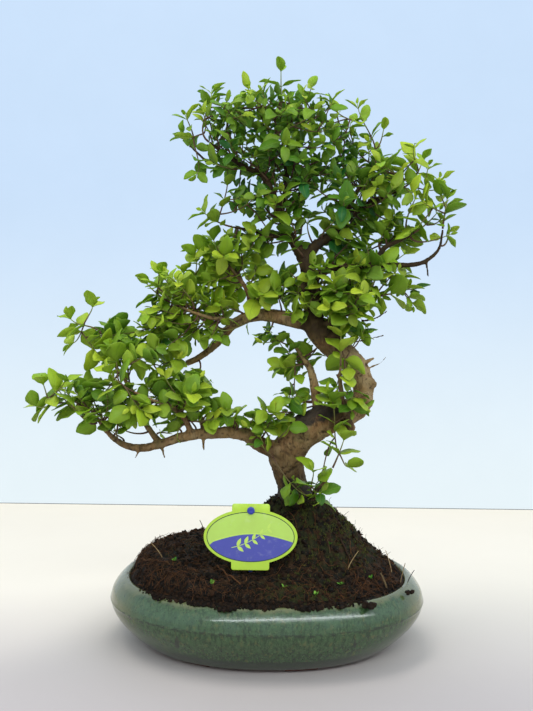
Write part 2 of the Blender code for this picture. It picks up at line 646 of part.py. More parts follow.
def oval(half_x, half_y, z):
    """Points round the pot's plan, a superellipse."""
    found = []
    for i in range(OVAL_STEPS):
        angle = math.tau * i / OVAL_STEPS
        x, y = (math.copysign(abs(v) ** (2 / OVAL_POWER), v) for v in (math.cos(angle), math.sin(angle)))
        found.append(Vector((half_x * x, half_y * y, z)))
    return found


def oval_rings(profile, inset=0.0):
    """Rings of the pot's plan for a profile of (half length, height), each drawn in by inset."""
    return [v for half, z in profile for v in oval(half - inset, half * POT_DEPTH_SHARE - inset, z)]


def make_pot():
    profile = (*POT_OUTSIDE, *POT_RIM, *POT_INSIDE)
    pot = mesh_object("pot", oval_rings(profile), tube_faces(len(profile), OVAL_STEPS), "glaze")
    drains = []
    for x in (-DRAIN_X, DRAIN_X):
        path = ((x, 0, -DRAIN_CUT, DRAIN_RADIUS), (x, 0, DRAIN_CUT, DRAIN_RADIUS))
        drains.append(mesh_object("drain", *tube(path, 12), "glaze"))
    boolean(pot, "DIFFERENCE", drains)


def soil_height(x, y, share):
    """Height of the soil's surface, where share is 0 in the middle and 1 at the pot's opening."""
    reach = CONE_LEFT if x < TRUNK[0][0] else CONE_RIGHT
    away = math.hypot((x - TRUNK[0][0]) / reach, (y - TRUNK[0][1]) / CONE_DEPTH)
    plateau = SOIL_PLATEAU - FALL_TO_RIGHT * x + FALL_TO_FRONT * min(y, 0)
    inner = plateau + CONE_HEIGHT * math.exp(-(away**CONE_POWER))
    return SOIL_EDGE + (inner - SOIL_EDGE) * (1 - share**SHOULDER_POWER)


def make_soil():
    """The root ball and soil: it fills the pot, and has plain holes for the trunk's foot and the label's stick."""
    floor = (POT_INSIDE[-1][0] - 3, POT_INSIDE[-1][1] + SOIL_WALL_GAP)
    side = [floor, *reversed(POT_INSIDE[:-1]), POT_RIM[-1]]
    vertices = oval_rings(side, SOIL_WALL_GAP)
    half = POT_RIM[-1][0] - SOIL_WALL_GAP
    for share in SOIL_RINGS:
        for v in oval(half * share, half * POT_DEPTH_SHARE * share, 0):
            vertices.append(Vector((v.x, v.y, soil_height(v.x, v.y, share))))
    faces = tube_faces(len(side) + len(SOIL_RINGS), OVAL_STEPS)[:-1]
    top = len(vertices)
    vertices.append(Vector((0, 0, soil_height(0, 0, 0))))
    last = top - OVAL_STEPS
    faces += [(last + k, last + (k + 1) % OVAL_STEPS, top) for k in range(OVAL_STEPS)]
    soil = mesh_object("soil", vertices, faces, "soil")
    foot = [(*p[:3], p[3] + 2 * FIT_GAP) for p in smooth(TRUNK, TRUNK_STEP)[:FOOT_RINGS]]
    foot[0] = (*foot[0][:2], foot[0][2] - FIT_GAP, foot[0][3])
    x, y, _ = stick_top()
    stick = [(x, y, z, STICK_RADIUS + FIT_GAP) for z in (STICK_FOOT_Z - FIT_GAP, LABEL_CENTRE[2])]
    holes = [mesh_object("hole", *tube(foot, TRUNK_SIDES), "soil"), mesh_object("hole", *tube(stick, 8), "soil")]
    boolean(soil, "DIFFERENCE", holes)
    return soil


def label_outline():
    """The plate's edge from the top tab, clockwise as seen from the front."""
    start = math.asin(TAB_HALF_X / LABEL_HALF_X)
    quarter = [(TAB_HALF_X, TAB_HALF_Z)]
    for i in range(6):
        angle = start + (math.pi / 2 - start) * i / 5
        quarter.append((LABEL_HALF_X * math.sin(angle), LABEL_HALF_Z * math.cos(angle)))
    right = quarter + [(x, -z) for x, z in quarter[-2::-1]]
    return right + [(-x, z) for x, z in right[::-1]]


def on_label(x, forward, up):
    """A place given in the leaning plate's own axes, as a place in the model."""
    lean = Matrix.Rotation(math.radians(-LABEL_LEAN), 3, "X")
    return Vector(LABEL_CENTRE) + lean @ Vector((x, -forward, up))


def stick_top():
    """Where the stick meets its peg, behind the plate."""
    return on_label(0, -PEG_BACK, PEG_HEIGHT)


def make_label():
    outline = label_outline()
    count = len(outline)
    vertices = [on_label(x, forward, z) for forward in (LABEL_THICK / 2, -LABEL_THICK / 2) for x, z in outline]
    faces = [tuple(range(count))[::-1], tuple(range(count, 2 * count))]
    faces += [(i, (i + 1) % count, (i + 1) % count + count, i + count) for i in range(count)]
    plate = mesh_object("label_plate", vertices, faces, "label_print")
    hole = [(*on_label(0, forward, PEG_HEIGHT), PEG_RADIUS + FIT_GAP) for forward in (-5, 5)]
    boolean(plate, "DIFFERENCE", [mesh_object("hole", *tube(hole, 8), "label_print")])


def make_stick():
    """A rod in the soil, a peg through the plate and a round button in front of it."""
    top, front = stick_top(), LABEL_THICK / 2 + FIT_GAP
    rod = tube([(top.x, top.y, z, STICK_RADIUS) for z in (STICK_FOOT_Z, top.z + STICK_RADIUS)], 8)
    peg = tube([(*on_label(0, forward, PEG_HEIGHT), PEG_RADIUS) for forward in (-PEG_BACK, front + 0.8)], 8)
    button = tube([(*on_label(0, front + forward, PEG_HEIGHT), radius) for forward, radius in BUTTON], 10)
    fuse("label_stick", [rod, peg, button], "label_stick")


def make_surface_roots(soil):
    """Thin dead roots that lie on the soil, lifted clear of its highest point under them."""
    ground = BVHTree.FromObject(soil, bpy.context.evaluated_depsgraph_get())
    for name, plan in SURFACE_ROOTS.items():
        points = []
        for x, y, _, _ in smooth([(x, y, 0, 0) for x, y in plan], ROOT_STEP):
            feelers = ring(Vector((x, y, ABOVE_SOIL)), UP, Vector((1, 0, 0)), ROOT_RADIUS * 1.6, ROOT_FEELERS)
            below = max(ground.ray_cast(feeler * METRES, -UP)[0].z for feeler in feelers) / METRES
            points.append((x, y, below + ROOT_RADIUS + FIT_GAP, ROOT_RADIUS))
        mesh_object(name, *tube(points, 5), "root")


def main():
    clear_scene()
    make_pot()
    soil = make_soil()
    make_label()
    make_stick()
    make_surface_roots(soil)
    make_tree()


if __name__ == "__main__":
    main()
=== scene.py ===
"""Dresses the privet bonsai: a finished surface for everything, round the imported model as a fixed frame.

Lengths here are millimetres, and METRES turns them into Blender's metres. The origin is the middle of
the pot's flat underside: +X is the tree's right, -Y its front, and +Z is up. The limbs, the clusters
and the rule that grows shoots and leaves are the model's own, so that each dressed spray stands where
the model's spray stands. The same rule then adds finer shoots and more leaves between them.
"""

import collections
import heapq
import itertools
import json
import math
import random

import bmesh
import bpy
import numpy as np
from mathutils import Matrix, Vector, noise
from mathutils.bvhtree import BVHTree
from mathutils.kdtree import KDTree

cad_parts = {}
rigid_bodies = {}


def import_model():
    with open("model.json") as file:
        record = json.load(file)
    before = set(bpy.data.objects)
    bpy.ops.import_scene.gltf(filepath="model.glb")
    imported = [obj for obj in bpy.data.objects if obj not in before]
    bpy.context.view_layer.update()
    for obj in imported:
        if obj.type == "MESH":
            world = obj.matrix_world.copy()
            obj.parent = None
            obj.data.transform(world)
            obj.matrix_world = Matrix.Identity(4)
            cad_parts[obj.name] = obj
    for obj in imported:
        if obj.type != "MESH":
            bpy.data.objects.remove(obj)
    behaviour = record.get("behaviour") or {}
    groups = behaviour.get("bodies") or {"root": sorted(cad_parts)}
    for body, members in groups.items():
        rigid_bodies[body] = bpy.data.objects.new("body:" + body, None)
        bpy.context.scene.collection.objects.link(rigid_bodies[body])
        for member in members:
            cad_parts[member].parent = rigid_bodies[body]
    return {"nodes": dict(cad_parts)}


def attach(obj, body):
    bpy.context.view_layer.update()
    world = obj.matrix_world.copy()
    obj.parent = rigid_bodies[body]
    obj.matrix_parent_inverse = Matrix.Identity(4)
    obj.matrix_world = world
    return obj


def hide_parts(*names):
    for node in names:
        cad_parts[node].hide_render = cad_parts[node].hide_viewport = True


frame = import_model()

bl_info = {
    "name": "Privet bonsai",
    "version": (1, 0, 0),
    "blender": (4, 5, 0),
    "location": "3D View > Sidebar > Bonsai",
    "description": "Glaze, soil, bark, leaves and label for a privet bonsai in an oval pot",
    "category": "Object",
}

METRES = 0.001
FIT_GAP = 0.35  # between bodies that rest against each other
UP = Vector((0, 0, 1))

# The pot: an oval plan whose bulging side draws in to a smaller foot and a smaller opening
OVAL_POWER = 2.2  # 2 is an ellipse, and more is squarer
POT_DEPTH_SHARE = 0.756  # of its length
OPENING_HALF, OPENING_Z, RIM_TOP = 131.5, 61.8, 63.0
POT_INSIDE = ((135, 54), (141.5, 44), (139.5, 33), (130, 21), (112, 10))  # (half length, height)
DRAIN_RADIUS, DRAIN_X, DRAIN_CUT = 8.0, 70.0, 18.0

# The soil: a plateau that falls to the right and front, a steep shoulder at the rim, a cone under the trunk
SOIL_WALL_GAP = 1.2
SOIL_HALF = OPENING_HALF - SOIL_WALL_GAP
SOIL_EDGE, SOIL_PLATEAU, FALL_TO_RIGHT, FALL_TO_FRONT, SHOULDER_POWER = 61.0, 79.0, 0.075, 0.08, 14
CONE_HEIGHT, CONE_LEFT, CONE_RIGHT, CONE_DEPTH, CONE_POWER = 62.0, 58.0, 60.0, 42.0, 2.4

# The label: an oval plate with a square tab above and below, hung on a peg through its upper edge
LABEL_CENTRE, LABEL_HALF_X, LABEL_HALF_Z = (-15.5, -60.0, 112.0), 42.0, 24.5
TAB_HALF_X, TAB_HALF_Z, LABEL_THICK, LABEL_LEAN = 17.0, 29.2, 1.4, 8.0
PEG_RADIUS, PEG_HEIGHT, PEG_BACK, STICK_RADIUS, STICK_FOOT_Z = 1.6, 23.2, 6.7, 2.2, 48.0

# Woody limbs, each a list of (x, y, z, radius) along its middle line
TRUNK = (
    (31, 6, 58, 22), (31, 6, 84, 22), (31, 6, 106, 24), (29, 6, 124, 19.5), (24, 4, 146, 15.5),
    (19, 2, 164, 16.5), (20, 0, 181, 17.5), (30, -3, 196, 17), (44, -5, 206, 16), (58, -7, 213, 14.5),
    (73, -6, 218, 13), (86, -1, 225, 11.5), (91, 4, 236, 10.5), (90, 6, 248, 10.5), (84, 5, 260, 11.2),
    (75, 2, 270, 12), (64, -2, 279, 12), (53, -4, 288, 11.3), (44, -4, 298, 11), (41, -2, 311, 9.8),
    (41, 0, 327, 8.6), (38, 3, 346, 7.6), (32, 5, 364, 7),
)
LIMBS = {
    "low": (
        (19, 0, 179, 10), (3, -6, 183, 9), (-9, -9, 188, 7.6), (-20, -12, 196, 6.8), (-35, -15, 199, 6),
        (-52, -18, 199, 5.4), (-70, -22, 198, 5), (-84, -25, 195, 4.6), (-100, -28, 190, 4.2),
        (-116, -30, 186, 3.8), (-131, -32, 188, 3.3), (-142, -33, 194, 2.8), (-150, -34, 202, 2.4),
        (-159, -36, 214, 2), (-173, -38, 221, 1.6), (-184, -40, 227, 1.2),
    ),
    "low_rise": (
        (-101, -28, 190, 3.2), (-113, -24, 204, 2.8), (-120, -20, 216, 2.5), (-128, -14, 234, 2.2),
        (-141, -8, 252, 1.9), (-153, -4, 269, 1.6), (-162, 0, 290, 1.2),
    ),
    "low_mid": (
        (-73, -22, 198, 3.2), (-78, -27, 212, 2.7), (-89, -34, 224, 2.3), (-107, -44, 232, 1.8),
        (-122, -52, 240, 1.3),
    ),
    "low_back": (
        (-60, -20, 199, 3.4), (-66, -6, 212, 2.8), (-78, 8, 226, 2.3), (-94, 20, 238, 1.8),
        (-108, 30, 250, 1.3),
    ),
    "middle": (
        (41, -4, 303, 8), (27, -2, 305, 7.2), (13, 4, 308, 7), (-4, 10, 311, 6.5), (-20, 15, 309, 5.8),
        (-34, 19, 303, 5), (-44, 22, 293, 4.4), (-52, 24, 283, 4), (-62, 25, 274, 3.6), (-73, 26, 266, 3.3),
    ),
    "middle_rise": ((-20, 15, 309, 3.6), (-21, 12, 329, 2.8), (-27, 10, 341, 2.3), (-41, 6, 358, 1.5)),
    "middle_left": (
        (-34, 19, 303, 3.2), (-45, 12, 306, 2.6), (-60, 2, 308, 2.1), (-78, -4, 314, 1.6),
        (-96, -2, 322, 1.2),
    ),
    "middle_back": ((-44, 22, 293, 3), (-58, 34, 300, 2.4), (-76, 40, 312, 1.9), (-92, 36, 328, 1.3)),
    "fork_left": (
        (32, 5, 362, 6.2), (24, 4, 377, 5.2), (16, 2, 389, 4.8), (9, 0, 406, 4.3), (3, -2, 420, 3.9),
        (-3, -4, 433, 3.4), (-11, -7, 444, 3), (-26, -10, 449, 2.5), (-42, -14, 459, 2),
        (-59, -18, 470, 1.4),
    ),
    "fork_right": (
        (32, 5, 360, 6), (40, 6, 375, 5.4), (51, 7, 384, 5), (61, 7, 391, 4.5), (71, 6, 403, 4.1),
        (83, 4, 413, 3.6), (95, 2, 419, 3), (109, 0, 426, 2.4), (124, -2, 433, 1.6),
    ),
    "side": (
        (16, 2, 387, 3), (4, 0, 386, 2.6), (-9, -3, 389, 2.2), (-23, -8, 391, 1.8), (-37, -12, 393, 1.3),
    ),
    "leader": ((8, 0, 408, 3.8), (13, 4, 428, 3.3), (14, 6, 446, 2.8), (11, 8, 466, 2.2), (9, 7, 490, 1.5)),
    "leader_back": ((14, 6, 446, 2.6), (20, 18, 456, 2.2), (28, 32, 466, 1.8), (36, 44, 480, 1.3)),
    "right_rise": (
        (71, 6, 403, 3.2), (76, 12, 418, 2.8), (84, 18, 434, 2.3), (92, 20, 450, 1.7), (98, 16, 464, 1.3),
    ),
    "right_low": (
        (40, 2, 346, 5), (55, 0, 356, 4.6), (72, -4, 356, 4), (90, -9, 357, 3.6), (99, -12, 363, 3.2),
        (106, -15, 375, 2.6), (118, -18, 381, 2.1), (131, -20, 388, 1.4),
    ),
    "right_reach": (
        (96, -11, 359, 3), (112, -16, 359, 2.6), (131, -20, 359, 2.3), (144, -22, 363, 2),
        (155, -24, 374, 1.5), (158, -24, 392, 1.2),
    ),
    "back": (
        (41, 2, 314, 5.5), (40, 18, 322, 4.6), (33, 34, 332, 3.6), (19, 48, 340, 2.6), (2, 58, 346, 1.5),
    ),
    "back_right": ((40, 18, 322, 3.6), (54, 32, 326, 3), (70, 42, 334, 2.3), (86, 46, 346, 1.5)),
    "middle_right": (
        (44, -2, 294, 5.5), (57, -9, 304, 4.5), (70, -15, 313, 3.6), (85, -19, 321, 2.6),
        (101, -20, 329, 1.5),
    ),
    "stub": (
        (52, -7, 210, 6.5), (46, -4, 226, 5.2), (43, -1, 244, 4.4), (39, 2, 259, 3.4), (29, 6, 274, 2.2),
        (20, 8, 286, 1.4),
    ),
    "front": (
        (76, -10, 217, 4), (73, -21, 220, 3.2), (68, -29, 232, 2.6), (65, -32, 250, 2.1),
        (65, -32, 264, 1.4),
    ),
    "sprout": (
        (32, -6, 134, 3), (38, -22, 138, 2.5), (46, -30, 149, 2), (54, -34, 160, 1.6), (59, -34, 170, 1.2),
    ),
}
PATHS = {"trunk": TRUNK, **LIMBS}
BARE_TRUNK = 45  # samples of the trunk, from its foot, where no shoot leaves
KNOBS = (((5, -5, 169), 11), ((33, -4, 338), 5.5))  # (middle, radius)
STUBS = (  # dead snags and cut ends
    ((-73, 26, 266, 3.3), (-83, 27, 262, 3.0)), ((-100, -28, 188, 1.5), (-97, -27, 176, 1.0)),
    ((-62, -20, 196, 1.5), (-61, -20, 182, 0.9)), ((84, 2, 262, 3), (101, 3, 271, 1.4)),
    ((144, -22, 362, 1.3), (146, -22, 348, 0.9)), ((44, -2, 331, 3), (53, -4, 330, 2.4)),
)
TRUNK_STEP, TRUNK_SIDES, LIMB_STEP, LIMB_SIDES, STUB_SIDES = 11, 10, 17, 5, 4

CLUSTERS = (  # of foliage: middle, half sizes and how many shoots end in each
    ((-40, -5, 502), (40, 56, 25), 5), ((18, 0, 506), (42, 62, 24), 6),
    ((-47, -10, 454), (34, 50, 22), 3), ((15, 5, 462), (50, 76, 28), 5), ((66, 0, 452), (31, 60, 26), 3),
    ((-9, 0, 420), (28, 52, 16), 2), ((109, -5, 458), (34, 54, 25), 5), ((134, -8, 427), (32, 46, 19), 3),
    ((74, 5, 410), (40, 66, 22), 4), ((122, 0, 388), (32, 50, 22), 3), ((98, -15, 352), (30, 48, 18), 3),
    ((73, 22, 376), (38, 56, 20), 3), ((74, -15, 326), (42, 58, 22), 4), ((62, 0, 302), (24, 44, 13), 2),
    ((2, 5, 340), (28, 46, 28), 2), ((-22, 10, 378), (32, 50, 22), 2), ((-58, 14, 364), (35, 54, 23), 3),
    ((-94, 8, 342), (33, 48, 23), 2), ((-62, 18, 328), (42, 56, 20), 2),
    ((-109, 5, 310), (30, 44, 17), 2), ((-114, -8, 280), (40, 52, 21), 3),
    ((-169, 0, 281), (32, 46, 25), 3), ((-186, -28, 241), (32, 42, 18), 3),
    ((-132, -44, 230), (42, 38, 22), 4), ((-84, -20, 240), (35, 54, 22), 3),
    ((-48, -24, 219), (22, 28, 13), 2), ((-10, -18, 214), (22, 28, 15), 2),
    ((26, 8, 270), (24, 28, 20), 2), ((68, -30, 250), (19, 18, 22), 2), ((50, -34, 160), (20, 15, 17), 3),
)
LONE_TIPS = (  # the outermost tips, each the end of a shoot by itself
    (7, 0, 543), (-86, -6, 478), (80, -4, 508), (157, -24, 402), (159, -6, 434), (144, 4, 462),
    (-214, -40, 226), (-192, -2, 306), (126, -20, 338), (-58, -4, 520), (74, -34, 172),
)
ONWARD, ONWARD_LIFT = 30.0, 0.3  # how far, and how much upwards, a shoot runs on from the end of a limb
REACH = (0.62, 0.98)  # how near its cluster's outside a tip lies
SEED = 11
LONGEST_SHOOT, GOOD_SHOOT, SHORTEST_SHOOT = 80.0, 34.0, 12.0
ASTRAY_COST, BACK_COST = 0.4, 0.35  # for leaving at an angle, and for length already behind the start
MOST_SPRAYS, NEW_SPRAY_COST, START_TRIES = 50, 14.0, 60
LIMB_SHOOT_RADIUS, SIDE_SHOOT_RADIUS, TIP_RADIUS = 1.4, 1.05, 0.8
CURVE_STEPS = 24  # in which a shoot's length is measured
TIP_NODE, NODE_SPACING = 1.5, 14.0
SHOOT_CLEARANCE, LEAF_CLEARANCE, NECK_CLEARANCE = 0.6, 0.35, 0.2
PAIRS_PER_SHOOT = 2
LEAF_LENGTHS, LENGTH_SPREAD = (18.5, 24.5), (0.88, 1.12)  # the end pair, and the pairs behind it
LEAF_LEANS = ((42, 54), (52, 72))  # degrees from the shoot, in the same order
LEAF_WIDTH_SHARE = 0.58
LEAF_RIB, LEAF_FOLD, LEAF_SAG = 0.6, 0.26, 0.15
BLADE_ROWS = ((0.33, 0.94), (0.70, 0.82))  # (share of length, share of half width)
BASE_ROW, NECK_ROW = (0.03, 0.16), (0.08, 0.28)  # from the neck on, a leaf keeps clear of its own shoot too
LEAF_TRIES, SWING, SHORTEN, LEAN_MORE = 9, 0.3, 0.97, 0.05  # where a leaf has no room, it turns and shrinks

# Thin dead roots on the soil, as (x, y) points of their plan
SURFACE_ROOTS = {
    "surface_root_left": ((-119, -22), (-104, -36), (-88, -46), (-74, -38)),
    "surface_root_front": ((-46, -46), (-36, -62), (-22, -80)),
    "surface_root_right": ((68, -22), (78, -36), (83, -46), (76, -62)),
}
ROOT_RADIUS = 0.9

# What the dressing adds to the model's growth: more tips in these clouds, and leaves at every node in them
CLOUDS = (  # middle, half sizes and how many more shoots end in each
    ((-34, -5, 500), (38, 50, 25), 17), ((18, 0, 504), (41, 58, 25), 21),
    ((-38, -10, 455), (30, 44, 21), 9), ((14, 5, 462), (48, 70, 28), 18),
    ((64, 0, 456), (33, 56, 28), 12), ((-14, 0, 420), (35, 48, 18), 10),
    ((98, -5, 450), (26, 46, 20), 11), ((121, -8, 424), (25, 42, 15), 8), ((74, 5, 412), (38, 56, 18), 8),
    ((119, 0, 392), (28, 42, 18), 6), ((97, -15, 352), (30, 46, 19), 10),
    ((72, 22, 376), (38, 52, 20), 10), ((74, -15, 326), (42, 56, 22), 13),
    ((62, 0, 302), (25, 42, 13), 5), ((6, 5, 338), (32, 44, 30), 12), ((-22, 8, 380), (32, 46, 21), 10),
    ((-58, 14, 362), (36, 50, 24), 13), ((-90, 8, 334), (30, 44, 18), 8),
    ((-62, 18, 328), (42, 52, 21), 11), ((-107, 5, 310), (30, 42, 17), 8),
    ((-114, -8, 280), (40, 50, 22), 12), ((-154, 0, 290), (24, 40, 20), 8),
    ((-176, -28, 234), (28, 38, 17), 10), ((-132, -44, 230), (42, 36, 22), 13),
    ((-84, -20, 240), (36, 50, 23), 12), ((-48, -24, 222), (22, 28, 12), 6),
    ((-10, -18, 214), (22, 28, 15), 6), ((26, 8, 270), (22, 26, 20), 5),
    ((50, -34, 148), (15, 15, 13), 3), ((22, 0, 416), (24, 44, 22), 7), ((12, 0, 383), (20, 30, 16), 3),
    ((66, 0, 484), (22, 40, 12), 4), ((160, -24, 386), (13, 14, 24), 3),
    ((132, -10, 334), (14, 16, 15), 2), ((44, 0, 330), (18, 40, 16), 3), ((0, 5, 292), (22, 20, 12), 4),
    ((-52, 20, 288), (16, 18, 10), 3), ((17, -10, 206), (14, 16, 10), 2),
    ((19, -5, 230), (20, 18, 12), 3), ((81, -30, 228), (18, 15, 9), 2), ((67, -30, 241), (19, 15, 10), 2),
    ((26, -25, 147), (12, 12, 10), 2), ((-92, -30, 204), (10, 12, 10), 2),
    ((-142, -35, 206), (12, 14, 10), 2), ((-66, 10, 294), (20, 26, 14), 6),
    ((42, -26, 352), (15, 12, 16), 4), ((50, -14, 502), (16, 24, 11), 4),
    ((28, -16, 434), (24, 22, 12), 6), ((88, -12, 434), (16, 22, 11), 4),
    ((-52, -10, 472), (14, 26, 16), 5), ((-8, -14, 480), (16, 24, 12), 3),
    ((-80, -24, 216), (14, 18, 9), 3), ((28, -18, 316), (20, 16, 12), 4),
    ((84, -16, 296), (14, 18, 9), 2), ((-8, -26, 192), (10, 12, 8), 2),
)
FINER_SEED = 23
FINER_TIPS = 1.3  # times the counts above
FINER_REACH = (0.22, 0.92)  # how far out in its cloud a tip lies
FINER_LONGEST, FINER_PAIRS = 60.0, 5
LONE_SHARE = 0.35  # of the leaves outside every cloud, how many stay
FINER_LENGTHS, INNER_LENGTHS, SMALL_LENGTHS = (12.0, 22.0), (11.5, 21.0), (6.0, 11.5)
FINER_LEANS, SMALL_LEANS = (45, 75), (20, 38)
SMALL_STEM = 2.5
OUTWARDS = 0.35  # how much the added leaves turn their faces out of their cluster
TOO_STEEP = 0.93  # a leaf whose face would look this much along the blade faces along its shoot instead
CELL = 40.0  # edge of the boxes in which Crowd sorts what is placed

for startup in {"Cube", "Camera", "Light"} & set(bpy.data.objects.keys()):
    bpy.data.objects.remove(bpy.data.objects[startup], do_unlink=True)
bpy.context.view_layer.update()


def smooth(points, step):
    """Points about step apart on a Catmull-Rom curve through these (x, y, z, radius) points."""
    knots = [points[0], *points, points[-1]]
    found = []
    for a, b, c, d in zip(knots, knots[1:], knots[2:], knots[3:]):
        count = max(1, round(math.dist(b[:3], c[:3]) / step))
        for share in (i / count for i in range(count)):
            found.append([
                0.5 * (2 * q + (r - p) * share + (2 * p - 5 * q + 4 * r - s) * share**2
                       + (3 * q - p - 3 * r + s) * share**3)
                for p, q, r, s in zip(a, b, c, d)
            ])
    return [*found, list(points[-1])]


def ring(middle, along, across, radius, sides):
    """Points round middle, from across and turning about along."""
    other = along.cross(across)
    angles = (math.tau * k / sides for k in range(sides))
    return [middle + (across * math.cos(a) + other * math.sin(a)) * radius for a in angles]


def tube(points, sides):
    """A closed tube with flat ends along (x, y, z, radius) points."""
    middles = [Vector(p[:3]) for p in points]
    vertices, across = [], None
    for i, middle in enumerate(middles):
        along = (middles[min(i + 1, len(middles) - 1)] - middles[max(i - 1, 0)]).normalized()
        across = along.orthogonal() if across is None else across - along * across.dot(along)
        across.normalize()
        vertices += ring(middle, along, across, points[i][3], sides)
    return vertices, tube_faces(len(points), sides)


def tube_faces(rings, sides):
    """The side faces of rings of vertices, and a face over each end."""
    faces = []
    for i in range(rings - 1):
        for k in range(sides):
            a, b = i * sides + k, i * sides + (k + 1) % sides
            faces += [(a, b, b + sides), (a, b + sides, a + sides)]
    last = (rings - 1) * sides
    return faces + [tuple(range(sides))[::-1], tuple(range(last, last + sides))]


def ball(centre, radius, sides=8, rings=5):
    """A rough ball as a tube that closes to small flat ends."""
    points = []
    for i in range(rings):
        angle = math.pi * (0.06 + 0.88 * i / (rings - 1))
        points.append((centre[0], centre[1], centre[2] - radius * math.cos(angle), radius * math.sin(angle)))
    return tube(points, sides)


class Crowd:
    """The solids placed so far, sorted into boxes. touches tells whether a new one would cross any."""

    def __init__(self):
        self.boxes = collections.defaultdict(list)

    @staticmethod
    def bounds(vertices):
        middle = sum(vertices, Vector()) / len(vertices)
        return middle, max((v - middle).length for v in vertices)

    @staticmethod
    def boxes_round(middle, reach):
        spans = [range(math.floor((m - reach) / CELL), math.floor((m + reach) / CELL) + 1) for m in middle]
        return itertools.product(*spans)

    def add(self, owner, vertices, faces):
        middle, reach = self.bounds(vertices)
        placed = (owner, middle, reach, BVHTree.FromPolygons(vertices, faces))
        for box in self.boxes_round(middle, reach):
            self.boxes[box].append(placed)

    def touches(self, vertices, faces, but=None):
        middle, reach = self.bounds(vertices)
        tree, tested = BVHTree.FromPolygons(vertices, faces), set()
        for box in self.boxes_round(middle, reach):
            for placed in self.boxes.get(box, ()):
                owner, other, other_reach, other_tree = placed
                if id(placed) in tested or owner == but:
                    continue
                tested.add(id(placed))
                if (middle - other).length < reach + other_reach and tree.overlap(other_tree):
                    return True
        return False


class Leaf:
    """A blade in rows of left edge, upper rib, right edge and lower rib, which ends in a point."""

    def __init__(self, base, along, face, length):
        self.base, self.along, self.length = base, along, length
        self.side = along.cross(face).normalized()
        self.face = self.side.cross(along)

    def row(self, share, spread, grow):
        """Four places across the blade, at these shares of its length and half width."""
        half = spread * self.length * LEAF_WIDTH_SHARE / 2 + grow
        sag = self.face * self.length * LEAF_SAG * share**2
        middle = self.base + self.along * self.length * share - sag
        rib, lift = self.face * (LEAF_RIB * (1 - share / 3) + grow), self.face * LEAF_FOLD * half
        left, right = middle - self.side * half + lift, middle + self.side * half + lift
        return [left, middle + rib, right, middle - rib]

    def tip(self):
        return self.base + self.along * self.length - self.face * self.length * LEAF_SAG

    def solid(self, first_row, grow=0.0):
        """The blade by itself from this row on, closed, to test what it would cross."""
        vertices, faces = [], [(3, 2, 1, 0)]
        for share, spread in (first_row, *BLADE_ROWS):
            vertices += self.row(share, spread, grow)
        for first in range(0, 4 * len(BLADE_ROWS), 4):
            for k in range(4):
                a, b = first + k, first + (k + 1) % 4
                # Both halves are split from the rib to the next edge, so the blade's two faces stay alike.
                faces += [(a, b, b + 4), (a, b + 4, a + 4)] if k % 2 else [(a, b, a + 4), (b, b + 4, a + 4)]
        tip = len(vertices)
        faces += [(tip - 4 + k, tip - 4 + (k + 1) % 4, tip) for k in range(4)]
        return [*vertices, self.tip()], faces


class Shoot:
    """A four-sided twig on a Hermite curve. Its stations are its base and its nodes, up to the tip."""

    def __init__(self, spray, start, leave, end, arrive, radius, turn, shift=0.0):
        self.owner, self.spray, self.carried = self, spray, {}
        self.given, self.radius, self.turn = (start, leave, end, arrive), radius, turn
        chord = (end - start).length

        def place(s):
            return (start * (2 * s**3 - 3 * s**2 + 1) + leave * chord * (s**3 - 2 * s**2 + s)
                    + end * (3 * s**2 - 2 * s**3) + arrive * chord * (s**3 - s**2))

        self.place = place
        points = [place(i / CURVE_STEPS) for i in range(CURVE_STEPS + 1)]
        self.length = sum((b - a).length for a, b in zip(points, points[1:]))
        nodes = int((self.length - TIP_NODE - NODE_SPACING * 0.45) / NODE_SPACING)
        distances = [0.0] + [self.length - TIP_NODE - shift - NODE_SPACING * k for k in range(nodes, -1, -1)]
        if shift:
            distances = [0.0] + [distance for distance in distances if distance > shift / 2]
        self.stations, across = [], None
        for distance in distances:
            s = distance / self.length
            along = (place(min(s + 0.02, 1)) - place(max(s - 0.02, 0))).normalized()
            if across is None:
                across = Matrix.Rotation(turn, 3, along) @ along.orthogonal()
            across = (across - along * across.dot(along)).normalized()
            self.stations.append((place(s), along, across, radius + (TIP_RADIUS - radius) * s))

    def ring(self, station, grow):
        middle, along, across, radius = self.stations[station]
        return ring(middle, along, across, radius + grow, 4)

    def outward(self, station, face):
        """The direction in which one of the four side faces looks."""
        _, along, across, _ = self.stations[station]
        return Matrix.Rotation(math.pi / 4 + face * math.pi / 2, 3, along) @ across

    def surface(self, station, face):
        middle, _, _, radius = self.stations[station]
        return middle + self.outward(station, face) * radius * math.sqrt(0.5)

    def between(self):
        """The same shoot with its nodes halfway between, for more leaves."""
        twin = Shoot(self.spray, *self.given, self.radius, self.turn, NODE_SPACING / 2)
        twin.owner, twin.heart = self, self.heart
        return twin

    def solid(self, first=0, grow=0.0):
        """The bare twig from this station on, closed, to test what it would cross."""
        count = len(self.stations) - first
        vertices = [v for i in range(first, first + count) for v in self.ring(i, grow)]
        return vertices, tube_faces(count, 4)


def limb_pieces():
    """The tubes and knobs that make the woody body, as (vertices, faces)."""
    pieces = [tube(smooth(TRUNK, TRUNK_STEP), TRUNK_SIDES)]
    pieces += [tube(smooth(path, LIMB_STEP), LIMB_SIDES) for path in LIMBS.values()]
    pieces += [ball(*place) for place in KNOBS]
    return pieces + [tube(path, STUB_SIDES) for path in STUBS]


def joined(pieces):
    """One list of vertices and one of faces from several pieces."""
    vertices, faces = [], []
    for more, shapes in pieces:
        faces += [tuple(len(vertices) + i for i in face) for face in shapes]
        vertices += more
    return vertices, faces


